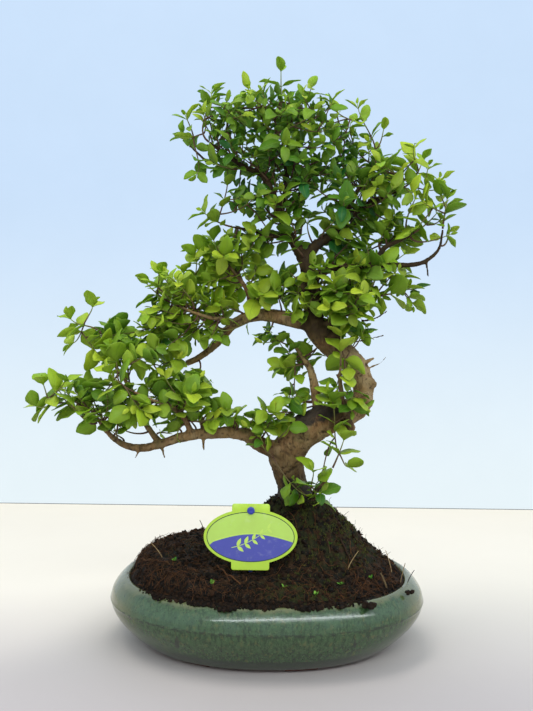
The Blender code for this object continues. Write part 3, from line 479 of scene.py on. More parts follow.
def cluster_tips(draw):
    """The shoots' tips, lone, beyond each limb's end and evenly round every cluster: (rank, middle, tip)."""
    turn = math.pi * (3 - math.sqrt(5))
    found = [(0, Vector(tip) - UP, Vector(tip)) for tip in LONE_TIPS]
    for path in LIMBS.values():
        end, before = Vector(path[-1][:3]), Vector(path[-2][:3])
        found.append((0, end, end + ((end - before).normalized() + UP * ONWARD_LIFT).normalized() * ONWARD))
    for middle, half, count in CLUSTERS:
        start = draw.uniform(0, math.tau)
        for i in range(count):
            height = 1 - 2 * (i + 0.5) / count
            level, reach = math.sqrt(1 - height**2), draw.uniform(*REACH)
            way = (level * math.cos(start + turn * i), level * math.sin(start + turn * i), height)
            tip = Vector(m + w * h * reach for m, w, h in zip(middle, way, half))
            found.append((1 if i == 0 else 2, Vector(middle), tip))
    return found


def limb_places():
    """Places on the limbs where a shoot may leave: (middle, direction, radius, is the limb's end)."""
    found = []
    for name, path in PATHS.items():
        points = smooth(path, 7)
        for i in range(BARE_TRUNK if name == "trunk" else 2, len(points)):
            here, before = Vector(points[i][:3]), Vector(points[i - 1][:3])
            found.append((here, (here - before).normalized(), points[i][3], i == len(points) - 1))
    return found


def shoot_from_limb(spray, place, heart, tip, wood, samples, turn):
    """A shoot that stands just clear of a limb's bark, or None where the limb doesn't face the tip."""
    middle, way, radius, is_end = place
    toward = (tip - middle).normalized()
    if is_end:
        start, normal, buried = middle + way * FIT_GAP, way, False
    else:
        hit, normal, _, _ = wood.find_nearest(middle + toward * (radius + 2))
        start = hit + normal * FIT_GAP
        buried = any((start + normal - other).length < r + FIT_GAP for other, _, r, _ in samples)
    if buried or normal.dot(toward) < 0.2 or not SHORTEST_SHOOT < (tip - start).length < LONGEST_SHOOT:
        return None
    return Shoot(spray, start, normal, tip, arrival(toward, heart, tip), LIMB_SHOOT_RADIUS, turn)


def shoot_from_shoot(parent, station, face, heart, tip, turn):
    """A side shoot that grows out of one side of its parent's node."""
    start = parent.surface(station, face)
    toward = (tip - start).normalized()
    faces_tip = parent.outward(station, face).dot(toward) > 0.1
    if not faces_tip or not SHORTEST_SHOOT < (tip - start).length < LONGEST_SHOOT:
        return None
    leave = (parent.outward(station, face) * 0.8 + toward).normalized()
    return Shoot(parent.spray, start, leave, tip, arrival(toward, heart, tip), SIDE_SHOOT_RADIUS, turn)


def arrival(toward, heart, tip):
    """The direction in which a shoot ends: onwards, out of its cluster, and a little upwards."""
    return ((tip - heart).normalized() * 0.7 + toward + UP * 0.5).normalized()


def on_oval(half_x, half_y, z, angle):
    """A place on a superellipse, the form of the pot's plan, in this direction."""
    x, y = (math.copysign(abs(v) ** (2 / OVAL_POWER), v) for v in (math.cos(angle), math.sin(angle)))
    return Vector((half_x * x, half_y * y, z))


def oval(half_x, half_y, z, steps):
    return [on_oval(half_x, half_y, z, math.tau * i / steps) for i in range(steps)]


def on_plan(half, angle):
    """A place on the pot's plan in this direction."""
    return on_oval(half, half * POT_DEPTH_SHARE, 0, angle)


def soil_height(x, y, share):
    """Height of the soil's surface, where share is 0 in the middle and 1 at the pot's opening."""
    reach = CONE_LEFT if x < TRUNK[0][0] else CONE_RIGHT
    away = math.hypot((x - TRUNK[0][0]) / reach, (y - TRUNK[0][1]) / CONE_DEPTH)
    plateau = SOIL_PLATEAU - FALL_TO_RIGHT * x + FALL_TO_FRONT * min(y, 0)
    inner = plateau + CONE_HEIGHT * math.exp(-(away**CONE_POWER))
    return SOIL_EDGE + (inner - SOIL_EDGE) * (1 - share**SHOULDER_POWER)


def on_label(x, forward, up):
    """A place given in the leaning plate's own axes, as a place in the model."""
    lean = Matrix.Rotation(math.radians(-LABEL_LEAN), 3, "X")
    return Vector(LABEL_CENTRE) + lean @ Vector((x, -forward, up))


class Growth:
    """The tree's shoots and leaves: first those of the model, then the finer ones between them."""

    def __init__(self):
        self.limbs = limb_pieces()
        self.crowd = Crowd()
        for piece in self.limbs:
            self.crowd.add("limb", *piece)
        self.wood = BVHTree.FromPolygons(*joined(self.limbs))
        self.samples = limb_places()
        self.starts = []
        for i, (middle, along, _, is_end) in enumerate(self.samples):
            self.starts.append((middle, along, 0 if is_end else NEW_SPRAY_COST, ("limb", i)))
        self.shoots, self.sprays = [], 0
        self.leaves = []

    def reach(self, heart, tip, turn, most_sprays, longest=math.inf):
        """Grows a shoot to this tip from the nearest free place from which it would cross nothing."""
        def cost(start):
            middle, along, extra, _ = start
            gap = tip - middle
            short = max(0, GOOD_SHOOT - gap.length)
            return gap.length * (1 + ASTRAY_COST * (1 - along.dot(gap.normalized()))) + short + extra

        for middle, _, extra, (kind, *where) in heapq.nsmallest(START_TRIES, self.starts, key=cost):
            if (tip - middle).length > longest:
                continue
            if kind == "limb":
                if self.sprays >= most_sprays:
                    continue
                sample = self.samples[where[0]]
                shoot = shoot_from_limb(len(self.shoots), sample, heart, tip, self.wood, self.samples, turn)
                parent = None
            else:
                parent, station, face = where
                if (station, face) in self.shoots[parent].carried:
                    continue
                shoot = shoot_from_shoot(self.shoots[parent], station, face, heart, tip, turn)
            if shoot is None or len(shoot.stations) < 2:
                continue
            first = 1 if parent is None and len(shoot.stations) > 2 else 0
            if self.crowd.touches(*shoot.solid(first, SHOOT_CLEARANCE), parent):
                continue
            if self.crowd.touches(*shoot.solid(), parent):
                continue
            number = len(self.shoots)
            shoot.heart = heart
            if parent is None:
                self.sprays += 1
            else:
                self.shoots[parent].carried[station, face] = number
            self.shoots.append(shoot)
            self.crowd.add(number, *shoot.solid())
            last = len(shoot.stations) - 1
            for i in range(1, last):
                for k in (1 - (last - i) % 2, 3 - (last - i) % 2):
                    way = (shoot.outward(i, k) + shoot.stations[i][1]).normalized()
                    behind = extra + BACK_COST * shoot.length * i / last
                    self.starts.append((shoot.stations[i][0], way, behind, ("shoot", number, i, k)))
            break

    def add_leaf_pair(self, number, shoot, station, order, lengths, leans, draw, unit=1.0, outwards=0.0):
        """Two opposite leaves on a node. Their lengths are drawn between these two, times unit. order counts
        the pairs from the tip, each a quarter turn from the last."""
        middle, way, _, _ = shoot.stations[station]
        for face in (order % 2, order % 2 + 2):
            if (station, face) in shoot.carried:
                continue
            out = shoot.outward(station, face)
            length = unit * draw.uniform(*lengths)
            lean = math.radians(draw.uniform(*leans))
            for attempt in range(LEAF_TRIES):
                swing = (attempt + 1) // 2 * SWING * (-1) ** attempt
                aside = (Matrix.Rotation(swing, 3, way) @ out + UP * 0.12).normalized()
                along = (way * math.cos(lean) + aside * math.sin(lean)).normalized()
                upper = (UP + way * 0.7 - out * 0.25).normalized()
                if outwards:
                    upper = (UP + way * 0.35 - out * 0.2).normalized()
                    away = (middle - shoot.heart).normalized()
                    chance = Vector([draw.gauss(0, 0.38) for _ in range(3)])
                    upper = (upper + away * outwards + chance).normalized()
                if abs(upper.dot(along)) > TOO_STEEP:
                    upper = way
                leaf = Leaf(shoot.surface(station, face), along, upper, length)
                lone = outwards and not in_clouds(leaf.base + along * length / 2)
                if lone and draw.random() > LONE_SHARE:
                    break
                free = not self.crowd.touches(*leaf.solid(BASE_ROW, NECK_CLEARANCE), number)
                if free and not self.crowd.touches(*leaf.solid(NECK_ROW, LEAF_CLEARANCE)):
                    self.crowd.add("leaf", *leaf.solid(BASE_ROW))
                    shoot.carried[station, face] = leaf
                    self.leaves.append((shoot.owner, leaf, order))
                    break
                length *= SHORTEN
                lean += LEAN_MORE

    def add_small_pair(self, shoot, draw):
        """The two small new leaves in which a shoot ends, on a short bare stem."""
        middle, way, _, _ = shoot.stations[-1]
        start = middle + way * (TIP_NODE + SMALL_STEM)
        turn = draw.choice((1, 0)) + (len(shoot.stations) % 2)
        for face in (turn % 2, turn % 2 + 2):
            out = shoot.outward(len(shoot.stations) - 1, face)
            lean = math.radians(draw.uniform(*SMALL_LEANS))
            along = (way * math.cos(lean) + out * math.sin(lean)).normalized()
            upper = (way - along * way.dot(along) + UP * 0.05).normalized()
            leaf = Leaf(start, along, upper, draw.uniform(*SMALL_LENGTHS))
            if not self.crowd.touches(*leaf.solid(NECK_ROW, NECK_CLEARANCE)):
                self.crowd.add("leaf", *leaf.solid(NECK_ROW))
                self.leaves.append((shoot, leaf, -1))

    def model_shoots(self):
        """The model's own shoots and leaves, from the model's own order of draws."""
        draw = random.Random(SEED)
        tips = cluster_tips(draw)
        nearest = {id(tip): min((tip[2] - sample[0]).length for sample in self.samples) for tip in tips}
        tips.sort(key=lambda found: (found[0], -nearest[id(found)]))
        for _, heart, tip in tips:
            self.reach(heart, tip, draw.uniform(0, math.tau), MOST_SPRAYS)
        for order in range(PAIRS_PER_SHOOT):
            for number, shoot in enumerate(self.shoots):
                station = len(shoot.stations) - 1 - order
                if station >= 1:
                    leans, unit = LEAF_LEANS[order], LEAF_LENGTHS[order]
                    self.add_leaf_pair(number, shoot, station, order, LENGTH_SPREAD, leans, draw, unit)
        return len(self.shoots)

    def finer_shoots(self):
        """More shoots in every cluster, then a pair of leaves at every node that still has room."""
        draw = random.Random(FINER_SEED)
        for middle, half, count in CLOUDS:
            for _ in range(round(count * FINER_TIPS)):
                way = Vector([draw.gauss(0, 1) for _ in range(3)]).normalized()
                reach = draw.uniform(*FINER_REACH)
                tip = Vector([m + w * h * reach for m, w, h in zip(middle, way, half)])
                self.reach(Vector(middle), tip, draw.uniform(0, math.tau), math.inf, FINER_LONGEST)
        looks = {"leans": FINER_LEANS, "draw": draw, "outwards": OUTWARDS}
        for order in range(FINER_PAIRS):
            lengths = FINER_LENGTHS if order < PAIRS_PER_SHOOT else INNER_LENGTHS
            for number, shoot in enumerate(self.shoots):
                station = len(shoot.stations) - 1 - order
                if station >= 1:
                    self.add_leaf_pair(number, shoot, station, order, lengths, **looks)
        for shoot in self.shoots:
            self.add_small_pair(shoot, draw)
        for number, shoot in enumerate(self.shoots):
            twin = shoot.between()
            for station in range(1, len(twin.stations)):
                self.add_leaf_pair(number, twin, station, station, INNER_LENGTHS, **looks)


def far_out(place, middle, half):
    """How far out in an oval body a place lies, squared: 0 in its middle and 1 on its surface."""
    return sum(((p - m) / h) ** 2 for p, m, h in zip(place, middle, half))


def in_clouds(place):
    """Whether foliage fills this place, which keeps the outline of the tree."""
    return any(far_out(place, middle, half) < 1 for middle, half, _ in CLOUDS)


def clamp(value, most=1):
    return min(most, max(0, value))


def nearness(aside, above, wide, high):
    """1 in the middle of an oval, and less outwards until 0 at its edge."""
    return max(0, 1 - math.hypot(aside / wide, above / high))


ALL_EDGES = 180  # degrees, for a piece that is smooth all over


def deselect():
    if bpy.context.mode != "OBJECT":
        bpy.ops.object.mode_set(mode="OBJECT")
    bpy.ops.object.select_all(action="DESELECT")


def select(*objects):
    deselect()
    for obj in objects:
        obj.select_set(True)
    bpy.context.view_layer.objects.active = objects[0]


def apply(obj, kind, **settings):
    """Adds a modifier with these settings and applies it."""
    select(obj)
    step = obj.modifiers.new(kind.title(), kind)
    for name, value in settings.items():
        setattr(step, name, value)
    bpy.ops.object.modifier_apply(modifier=step.name)


def drill(pieces, sides, radius, depth, place, turn=(0, 0, 0)):
    """Cuts a round hole through these pieces."""
    deselect()
    middle = Vector(place) * METRES
    size = {"radius": radius * METRES, "depth": depth * METRES}
    bpy.ops.mesh.primitive_cylinder_add(vertices=sides, location=middle, rotation=turn, **size)
    tool = bpy.context.object
    for piece in pieces:
        apply(piece, "BOOLEAN", operation="DIFFERENCE", object=tool, solver="EXACT")
    bpy.data.objects.remove(tool, do_unlink=True)


def loft(name, rings):
    """A closed skin through rings of places: a circle is drawn, and extruded from ring to ring."""
    deselect()
    bpy.ops.mesh.primitive_circle_add(vertices=len(rings[0]), radius=1)
    obj = bpy.context.object
    obj.name = obj.data.name = name
    order = obj.data.attributes.new("order", "INT", "POINT")
    order.data.foreach_set("value", range(len(rings[0])))
    bpy.ops.object.mode_set(mode="EDIT")
    bpy.ops.mesh.select_mode(type="VERT")
    for number, places in enumerate(rings):
        if number:
            bpy.ops.mesh.extrude_region_move()
        mesh = bmesh.from_edit_mesh(obj.data)
        layer = mesh.verts.layers.int["order"]
        chosen = sorted((vert for vert in mesh.verts if vert.select), key=lambda vert: vert[layer])
        for vert, place in zip(chosen, places):
            vert.co = place * METRES
        if number in (0, len(rings) - 1):
            close_ring(mesh, chosen)
        bmesh.update_edit_mesh(obj.data)
    bpy.ops.mesh.select_all(action="SELECT")
    bpy.ops.mesh.normals_make_consistent(inside=False)
    bpy.ops.object.mode_set(mode="OBJECT")
    obj.data.attributes.remove(obj.data.attributes["order"])
    return obj


def close_ring(mesh, chosen):
    """Fills a ring of vertices with one face, and leaves only the ring selected."""
    face = mesh.faces.new(chosen)
    face.select = False
    for part in (*chosen, *face.edges):
        part.select = True


def new_object(name, data):
    obj = bpy.data.objects.new(name, data)
    bpy.context.scene.collection.objects.link(obj)
    return obj


def mesh_object(name, vertices, faces, finish):
    """A mesh object from places in millimetres."""
    mesh = bpy.data.meshes.new(name)
    mesh.from_pydata((np.asarray(vertices, float) * METRES).tolist(), [], faces)
    mesh.materials.append(finish)
    return new_object(name, mesh)


def rods(name, paths, roundness=1):
    """Closed tubes along lists of (x, y, z, radius), drawn as one bevelled curve and made a mesh."""
    curve = bpy.data.curves.new(name, "CURVE")
    curve.dimensions = "3D"
    curve.bevel_depth = METRES
    curve.bevel_resolution = roundness
    for path in paths:
        spline = curve.splines.new("POLY")
        spline.points.add(len(path) - 1)
        places = np.array([(*p[:3], 0) for p in path], float) * METRES
        places[:, 3] = 1
        spline.points.foreach_set("co", places.ravel())
        spline.points.foreach_set("radius", [p[3] for p in path])
    select(new_object(name, curve))
    bpy.ops.object.convert(target="MESH")
    bpy.ops.object.mode_set(mode="EDIT")
    bpy.ops.mesh.select_all(action="SELECT")
    bpy.ops.mesh.fill_holes(sides=0)
    bpy.ops.object.mode_set(mode="OBJECT")
    return bpy.context.object


def rod_sides(roundness):
    """How many vertices go round a rod."""
    return 4 + 2 * roundness


def join(*objects):
    select(*objects)
    bpy.ops.object.join()
    return bpy.context.object


def places_of(obj):
    found = np.empty(len(obj.data.vertices) * 3)
    obj.data.vertices.foreach_get("co", found)
    return found.reshape(-1, 3)


def move_places(obj, places):
    obj.data.vertices.foreach_set("co", np.asarray(places).ravel())
    obj.data.update()


def mark(obj, name, values):
    """A number at every vertex, for the materials to read."""
    attribute = obj.data.attributes.new(name, "FLOAT", "POINT")
    attribute.data.foreach_set("value", np.asarray(values, float))


def give(obj, finish):
    obj.data.materials.clear()
    obj.data.materials.append(finish)


def finish_piece(obj, slot, *nodes, finish=None, angle=ALL_EDGES):
    """Smooths a piece over edges up to this angle, gives it its material, rides it on the tree's one body
    and hides the model's nodes that it stands for."""
    if angle == ALL_EDGES:
        select(obj)
        bpy.ops.object.shade_smooth()
    elif angle:
        select(obj)
        bpy.ops.object.shade_smooth_by_angle(angle=math.radians(angle))
    if finish:
        give(obj, finish)
    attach(obj, "root")
    if nodes:
        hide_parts(*nodes)


def tint(red, green, blue):
    """A colour of everyday 0 to 255 values, as the linear one that Blender works in."""
    shares = (value / 255 for value in (red, green, blue))
    return tuple(v / 12.92 if v <= 0.04045 else ((v + 0.055) / 1.055) ** 2.4 for v in shares)


# SOIL_HOLLOW_SHADE is the painted shade in the soil's hollows.
SOIL_HOLLOW_SHADE, UNLIT, DUST = (0.004, 0.003, 0.002), (0.03, 0.03, 0.03), tint(214, 214, 200)
VEIN_PAIRS = 7.0


class Board:
    """A node tree that is being wired. What a node is given is a value or another node's output."""

    def __init__(self, tree):
        self.tree = tree

    def put(self, socket, value):
        if isinstance(value, bpy.types.NodeSocket):
            self.tree.links.new(value, socket)
        elif socket.type == "RGBA" and len(value) == 3:
            socket.default_value = (*value, 1)
        else:
            socket.default_value = value

    def wire(self, node, inputs):
        """Gives the named or numbered inputs of a node what belongs in them."""
        for key, value in dict(inputs).items():
            self.put(node.inputs[key], value)

    def node(self, kind, inputs=(), **settings):
        made = self.tree.nodes.new("ShaderNode" + kind)
        for name, value in settings.items():
            setattr(made, name, value)
        self.wire(made, inputs)
        return made

    def object_place(self):
        return self.node("TexCoord").outputs["Object"]

    def axes(self, place):
        return self.node("SeparateXYZ", {"Vector": place}).outputs

    def attribute(self, name):
        return self.node("Attribute", attribute_name=name).outputs["Fac"]

    def stretched(self, place, scale, turn=(0, 0, 0)):
        return self.node("Mapping", {"Vector": place, "Scale": scale, "Rotation": turn}).outputs[0]

    def noise(self, place, scale, detail=3.0, rough=0.55, twist=0.0):
        given = {"Vector": place, "Scale": scale, "Detail": detail, "Roughness": rough, "Distortion": twist}
        return self.node("TexNoise", given).outputs["Fac"]

    def span(self, value, low, high, to_low=0.0, to_high=1.0):
        """value from low to high, eased and set between two others."""
        names = ("Value", "From Min", "From Max", "To Min", "To Max")
        given = dict(zip(names, (value, low, high, to_low, to_high)))
        return self.node("MapRange", given, interpolation_type="SMOOTHSTEP").outputs[0]

    def fall(self, value, low, high):
        """1 where value is below low, easing to 0 where it is above high."""
        return self.span(value, low, high, 1.0, 0.0)

    def math(self, operation, *values):
        return self.node("Math", enumerate(values), operation=operation).outputs[0]

    def times(self, first, second):
        return self.math("MULTIPLY", first, second)

    def scaled(self, value, factor, base):
        """value times factor, plus base."""
        return self.math("MULTIPLY_ADD", value, factor, base)

    def shifted(self, value, cloud, amount):
        """value moved up and down by a noise."""
        return self.scaled(self.math("SUBTRACT", cloud, 0.5), amount, value)

    def distance(self, value, middle):
        return self.math("ABSOLUTE", self.math("SUBTRACT", value, middle))

    def mix(self, share, first, second):
        return self.node("Mix", {0: share, 6: first, 7: second}, data_type="RGBA").outputs[2]

    def cover(self, colour, other, mask, share):
        """A colour with another laid over it where mask says, as strongly as share."""
        return self.mix(self.times(mask, share), colour, other)

    def group(self, name, inputs):
        return self.node("Group", inputs, node_tree=bpy.data.node_groups[name]).outputs[0]

    def mottle(self, place, scale, low, high):
        return self.group("Mottle", {"Place": place, "Scale": scale, "Low": low, "High": high})

    def shading(self, colour, place, scale, amount):
        return self.group("Shading", {"Colour": colour, "Place": place, "Scale": scale, "Amount": amount})

    def specks(self, place, scale, size, share):
        return self.group("Specks", {"Place": place, "Scale": scale, "Size": size, "Share": share})

    def relief(self, place, coarse, fine, fine_share, depth, strength):
        """Normals of a rough surface, whose bumps are this deep in millimetres."""
        given = {"Place": place, "Coarse": coarse, "Fine": fine, "Fine share": fine_share}
        return self.bump(self.group("Relief", given), depth, strength)

    def bump(self, height, depth, strength):
        given = {"Height": height, "Distance": depth * METRES, "Strength": strength}
        return self.node("Bump", given).outputs[0]


def new_group(name, inputs, output, kind):
    """An empty node group: its Board, its inputs and its output. A colour input is given as a tuple, and a
    vector input as None."""
    sockets = {tuple: "NodeSocketColor", type(None): "NodeSocketVector", float: "NodeSocketFloat"}
    tree = bpy.data.node_groups.new(name, "ShaderNodeTree")
    for key, value in inputs.items():
        made = tree.interface.new_socket(key, in_out="INPUT", socket_type=sockets[type(value)])
        if value is not None:
            made.default_value = value
    tree.interface.new_socket(output, in_out="OUTPUT", socket_type=kind)
    return Board(tree), tree.nodes.new("NodeGroupInput").outputs, tree.nodes.new("NodeGroupOutput").inputs[0]


def build_groups():
    """The effects that several finishes share."""
    inputs = {"Place": None, "Scale": 50.0, "Low": 0.45, "High": 0.6}
    board, given, out = new_group("Mottle", inputs, "Mask", "NodeSocketFloat")
    cloud = board.noise(given["Place"], given["Scale"], 5, 0.6, 0.4)
    board.put(out, board.span(cloud, given["Low"], given["High"]))

    inputs = {"Colour": (0.5, 0.5, 0.5, 1), "Place": None, "Scale": 50.0, "Amount": 0.2}
    board, given, out = new_group("Shading", inputs, "Colour", "NodeSocketColor")
    cloud = board.noise(given["Place"], given["Scale"], 4, 0.6)
    value = board.shifted(1.0, cloud, board.times(given["Amount"], 2.4))
    hue = board.shifted(0.5, cloud, board.times(given["Amount"], 0.12))
    shaded = board.node("HueSaturation", {"Color": given["Colour"], "Value": value, "Hue": hue})
    board.put(out, shaded.outputs[0])

    inputs = {"Place": None, "Scale": 400.0, "Size": 0.25, "Share": 0.5}
    board, given, out = new_group("Specks", inputs, "Mask", "NodeSocketFloat")
    cells = board.node("TexVoronoi", {"Vector": given["Place"], "Scale": given["Scale"]}).outputs
    dot = board.math("LESS_THAN", cells["Distance"], given["Size"])
    luck = board.node("SeparateColor", {"Color": cells["Color"]}).outputs[0]
    board.put(out, board.times(dot, board.math("LESS_THAN", luck, given["Share"])))

    inputs = {"Place": None, "Coarse": 120.0, "Fine": 600.0, "Fine share": 0.4}
    board, given, out = new_group("Relief", inputs, "Height", "NodeSocketFloat")
    coarse = board.noise(given["Place"], given["Coarse"], 3, 0.55)
    fine = board.noise(given["Place"], given["Fine"], 3, 0.6)
    board.put(out, board.scaled(fine, given["Fine share"], coarse))


def new_material(name):
    """A material, its Board and its Principled shader."""
    made = bpy.data.materials.new(name)
    made.use_nodes = True
    return made, Board(made.node_tree), made.node_tree.nodes["Principled BSDF"]


GLAZE_FLAWS = ((-77, 29, 2.6, 9), (75, 31, 1.8, 5))  # pits on the front: (x, z, half width, half height)


def make_glaze(look):
    """A speckled celadon glaze that ran in fine upright streaks, and the bare clay of the foot. The glaze
    also carries a painted reflection of the sky on its shoulder, and painted shade in the low crease and
    towards the foot.
    """
    made, board, shader = new_material("glaze")
    place = board.object_place()
    x, y, z = board.axes(place)
    streaks = board.noise(board.stretched(place, (1, 1, 0.35)), 360, 5, 0.7)
    colour = board.mix(board.span(streaks, 0.38, 0.60), look.streak, look.glaze)
    pale = board.noise(board.stretched(place, (1, 1, 0.55), (0.3, 0.2, 0)), 620, 3, 0.6)
    colour = board.cover(colour, look.light, board.span(pale, 0.54, 0.68), 0.5)
    olive = board.mottle(board.stretched(place, (1, 1, 0.6)), 260, 0.54, 0.68)
    colour = board.cover(colour, look.warm, olive, 0.6)
    uneven = board.noise(board.stretched(place, (1, 1, 0.4)), 60, 4)
    height = board.shifted(z, uneven, 0.008)
    # Painted reflection of the sky: bluish clouds on the upper shoulder, which faces the sky.
    upper = board.times(board.span(height, 0.040, 0.047), board.fall(height, 0.055, 0.060))
    colour = board.cover(colour, look.sky_sheen, board.times(upper, board.mottle(place, 34, 0.36, 0.60)), 0.5)
    side = board.shifted(board.math("ABSOLUTE", x), uneven, 0.05)
    colour = board.cover(colour, look.warm, board.span(side, 0.105, 0.145), 0.8)
    colour = board.cover(colour, look.rim, board.span(height, 0.0585, 0.0625), 0.7)
    # Painted shade: a dark line in the crease low on the belly, and the glaze darker and greyer below it
    # towards the foot.
    colour = board.cover(colour, look.shade, board.fall(board.distance(height, 0.0125), 0.0, 0.0042), 0.7)
    colour = board.cover(colour, look.foot_shade, board.fall(height, 0.006, 0.020), 0.6)
    colour = board.cover(colour, look.speck, board.specks(place, 520, 0.28, 0.3), 0.55)
    ridge = board.fall(board.distance(z, 0.0425), 0.0004, 0.0022)
    flecks = board.mottle(board.stretched(place, (0.5, 0.5, 1)), 420, 0.46, 0.56)
    colour = board.cover(colour, look.speck, board.times(ridge, flecks), 0.7)
    in_front = board.math("LESS_THAN", y, 0.0)
    for at_x, at_z, wide, high in GLAZE_FLAWS:
        aside = board.times(board.math("SUBTRACT", x, at_x * METRES), 1 / (wide * METRES))
        above = board.times(board.math("SUBTRACT", z, at_z * METRES), 1 / (high * METRES))
        away = board.scaled(aside, aside, board.times(above, above))
        spot = board.fall(board.shifted(away, streaks, 2.4), 0.3, 1.0)
        colour = board.cover(colour, look.speck, board.times(spot, in_front), 0.75)
    bare = board.fall(board.scaled(uneven, 0.002, z), 0.0038, 0.0048)
    clay = board.shading(look.foot, place, 300, 0.5)
    board.wire(shader, {
        "Base Color": board.mix(bare, colour, clay),
        "Roughness": board.math("ADD", board.scaled(streaks, 0.16, 0.12), board.times(bare, 0.55)),
        "Coat Weight": board.times(board.math("SUBTRACT", 1.0, bare), 0.26),
        "Coat Roughness": 0.07,
        "Normal": board.relief(board.stretched(place, (1, 1, 0.5)), 110, 620, 0.14, 0.7, 0.5),
    })
    return made


def make_soil_finish(look):
    """Dark fibrous potting soil with rusty flecks and painted shade in its hollows, and green where the
    piece is marked as mossy.
    """
    made, board, shader = new_material("soil")
    place = board.object_place()
    raised = board.attribute("grit")
    colour = board.shading(look.earth, place, 160, 0.9)
    rust = board.scaled(board.span(raised, 0.30, 0.85), 0.5, board.noise(place, 230, 4))
    colour = board.cover(colour, look.rust, board.span(rust, 0.62, 0.94), 0.85)
    # Painted shade: near black in the soil's low hollows.
    colour = board.cover(colour, SOIL_HOLLOW_SHADE, board.fall(raised, 0.05, 0.45), 0.8)
    colour = board.cover(colour, look.fleck, board.specks(place, 600, 0.3, 0.3), 0.5)
    green = board.times(board.mottle(place, 90, 0.40, 0.58), board.attribute("moss"))
    board.wire(shader, {
        "Base Color": board.mix(green, colour, board.shading(look.moss, place, 500, 0.9)),
        "Roughness": board.span(board.noise(place, 120), 0.3, 0.7, 0.65, 0.98),
        "Specular IOR Level": 0.2,
        "Normal": board.relief(place, 240, 900, 0.5, 1.6, 0.9),
    })
    return made


def make_bark(look):
    """Warm tan bark with dark fissures, charcoal stains, pale worn places, paler undersides low down and a
    mossy foot.
    """
    made, board, shader = new_material("bark")
    place = board.object_place()
    grain = board.noise(board.stretched(place, (1, 1, 0.35)), 260, 5, 0.65, 0.6)
    colour = board.mix(board.span(grain, 0.32, 0.56), board.mix(0.4, look.fissure, look.bark), look.bark)
    colour = board.shading(colour, place, 45, 0.45)
    ruddy = board.mottle(board.stretched(place, (1, 1, 0.6)), 62, 0.46, 0.64)
    colour = board.cover(colour, look.ruddy, ruddy, 0.5)
    algae = board.mottle(board.stretched(place, (1, 0.8, 1)), 38, 0.47, 0.60)
    colour = board.cover(colour, look.algae, algae, 0.45)
    worn = board.mottle(board.stretched(place, (1, 1, 0.5)), 120, 0.50, 0.64)
    colour = board.cover(colour, look.pale, worn, 0.38)
    colour = board.mix(board.attribute("brown"), colour, board.shading(look.brown, place, 90, 0.5))
    pale = board.times(board.mottle(place, 70, 0.42, 0.60), board.attribute("pale"))
    colour = board.mix(pale, colour, board.mix(0.25, look.pale, colour))
    cracks = board.noise(board.stretched(place, (1, 1, 0.3), (0.5, 0.35, 0)), 210, 6, 0.72, 1.2)
    colour = board.cover(colour, look.fissure, board.fall(cracks, 0.36, 0.46), 0.6)
    colour = board.cover(colour, look.fissure, board.span(board.attribute("hollow"), 0.25, 0.9), 0.75)
    stain = board.shifted(board.attribute("stain"), board.noise(place, 75, 5, 0.6), 3.0)
    colour = board.mix(board.span(stain, 0.35, 1.0, 0.0, 0.9), colour, look.stain)
    moss = board.times(board.mottle(place, 130, 0.42, 0.58), board.attribute("moss"))
    board.wire(shader, {
        "Base Color": board.mix(moss, colour, look.moss),
        "Roughness": board.span(grain, 0.2, 0.8, 0.92, 0.68),
        "Specular IOR Level": 0.25,
        "Normal": board.relief(board.stretched(place, (1, 1, 0.5)), 380, 1200, 0.35, 1.1, 0.8),
    })
    return made


def make_leaf_finish(look):
    """A glossy leaf: its age with its painted light and shade, and its tint, come from its own marks, its
    veins from the places on its blade.
    """
    made, board, shader = new_material("leaf")
    youth, random_tint, under = (board.attribute(name) for name in ("youth", "tint", "under"))
    side, along, _ = board.axes(board.node("UVMap", uv_map="blade").outputs[0])
    across = board.distance(side, 0.5)
    old = board.mix(random_tint, look.old_dark, look.old_light)
    old = board.mix(board.span(random_tint, 0.70, 0.78), old, look.old_cool)
    # youth carries the leaf's age and its painted light and shade.
    colour = board.mix(youth, old, board.mix(random_tint, look.young_dark, look.young_light))
    place = board.object_place()
    colour = board.shading(colour, place, 130, 0.18)
    slant = board.scaled(across, -1.1, along)
    saw = board.distance(board.math("FRACT", board.times(slant, VEIN_PAIRS)), 0.5)
    side_veins = board.times(board.fall(saw, 0.0, 0.11), board.fall(across, 0.36, 0.46))
    veins = board.math("MAXIMUM", board.fall(across, 0.008, 0.040), board.times(side_veins, 0.42))
    colour = board.cover(colour, look.vein, veins, 0.42)
    colour = board.cover(colour, look.vein, board.span(across, 0.44, 0.5), 0.3)
    colour = board.cover(colour, look.underside, under, 0.35)
    cloud = board.noise(place, 300)
    normal = board.bump(board.scaled(veins, -0.8, board.times(cloud, 0.3)), 0.35, 0.6)
    board.wire(shader, {
        "Base Color": colour,
        "Roughness": board.scaled(under, 0.2, board.scaled(cloud, 0.2, 0.36)),
        "Coat Weight": board.scaled(under, -0.08, 0.08),
        "Coat Roughness": 0.3,
        "Specular IOR Level": 0.34,
        "Normal": normal,
    })
    glow = board.node("BsdfTranslucent", {"Color": board.mix(0.6, colour, look.glow), "Normal": normal})
    blend_shaders(board, look.clearness, shader, glow)
    return made


def blend_shaders(board, share, first, second):
    """Ends a material in two shaders, of which the second has this share."""
    both = board.node("MixShader", {"Fac": share, 1: first.outputs[0], 2: second.outputs[0]})
    board.put(board.tree.nodes["Material Output"].inputs["Surface"], both.outputs[0])


def make_twig_finish(look):
    """Twigs from reddish brown at their foot to green at their tips."""
    made, board, shader = new_material("twig")
    place = board.object_place()
    youth = board.attribute("youth")
    # The mark carries painted light and shade as well as age, as on the leaves.
    colour = board.mix(youth, look.twig_old, look.twig_young)
    board.wire(shader, {
        "Base Color": board.shading(colour, place, 260, 0.45),
        "Roughness": board.span(youth, 0, 1, 0.75, 0.42),
        "Normal": board.relief(place, 700, 1600, 0.4, 0.3, 0.6),
    })
    return made


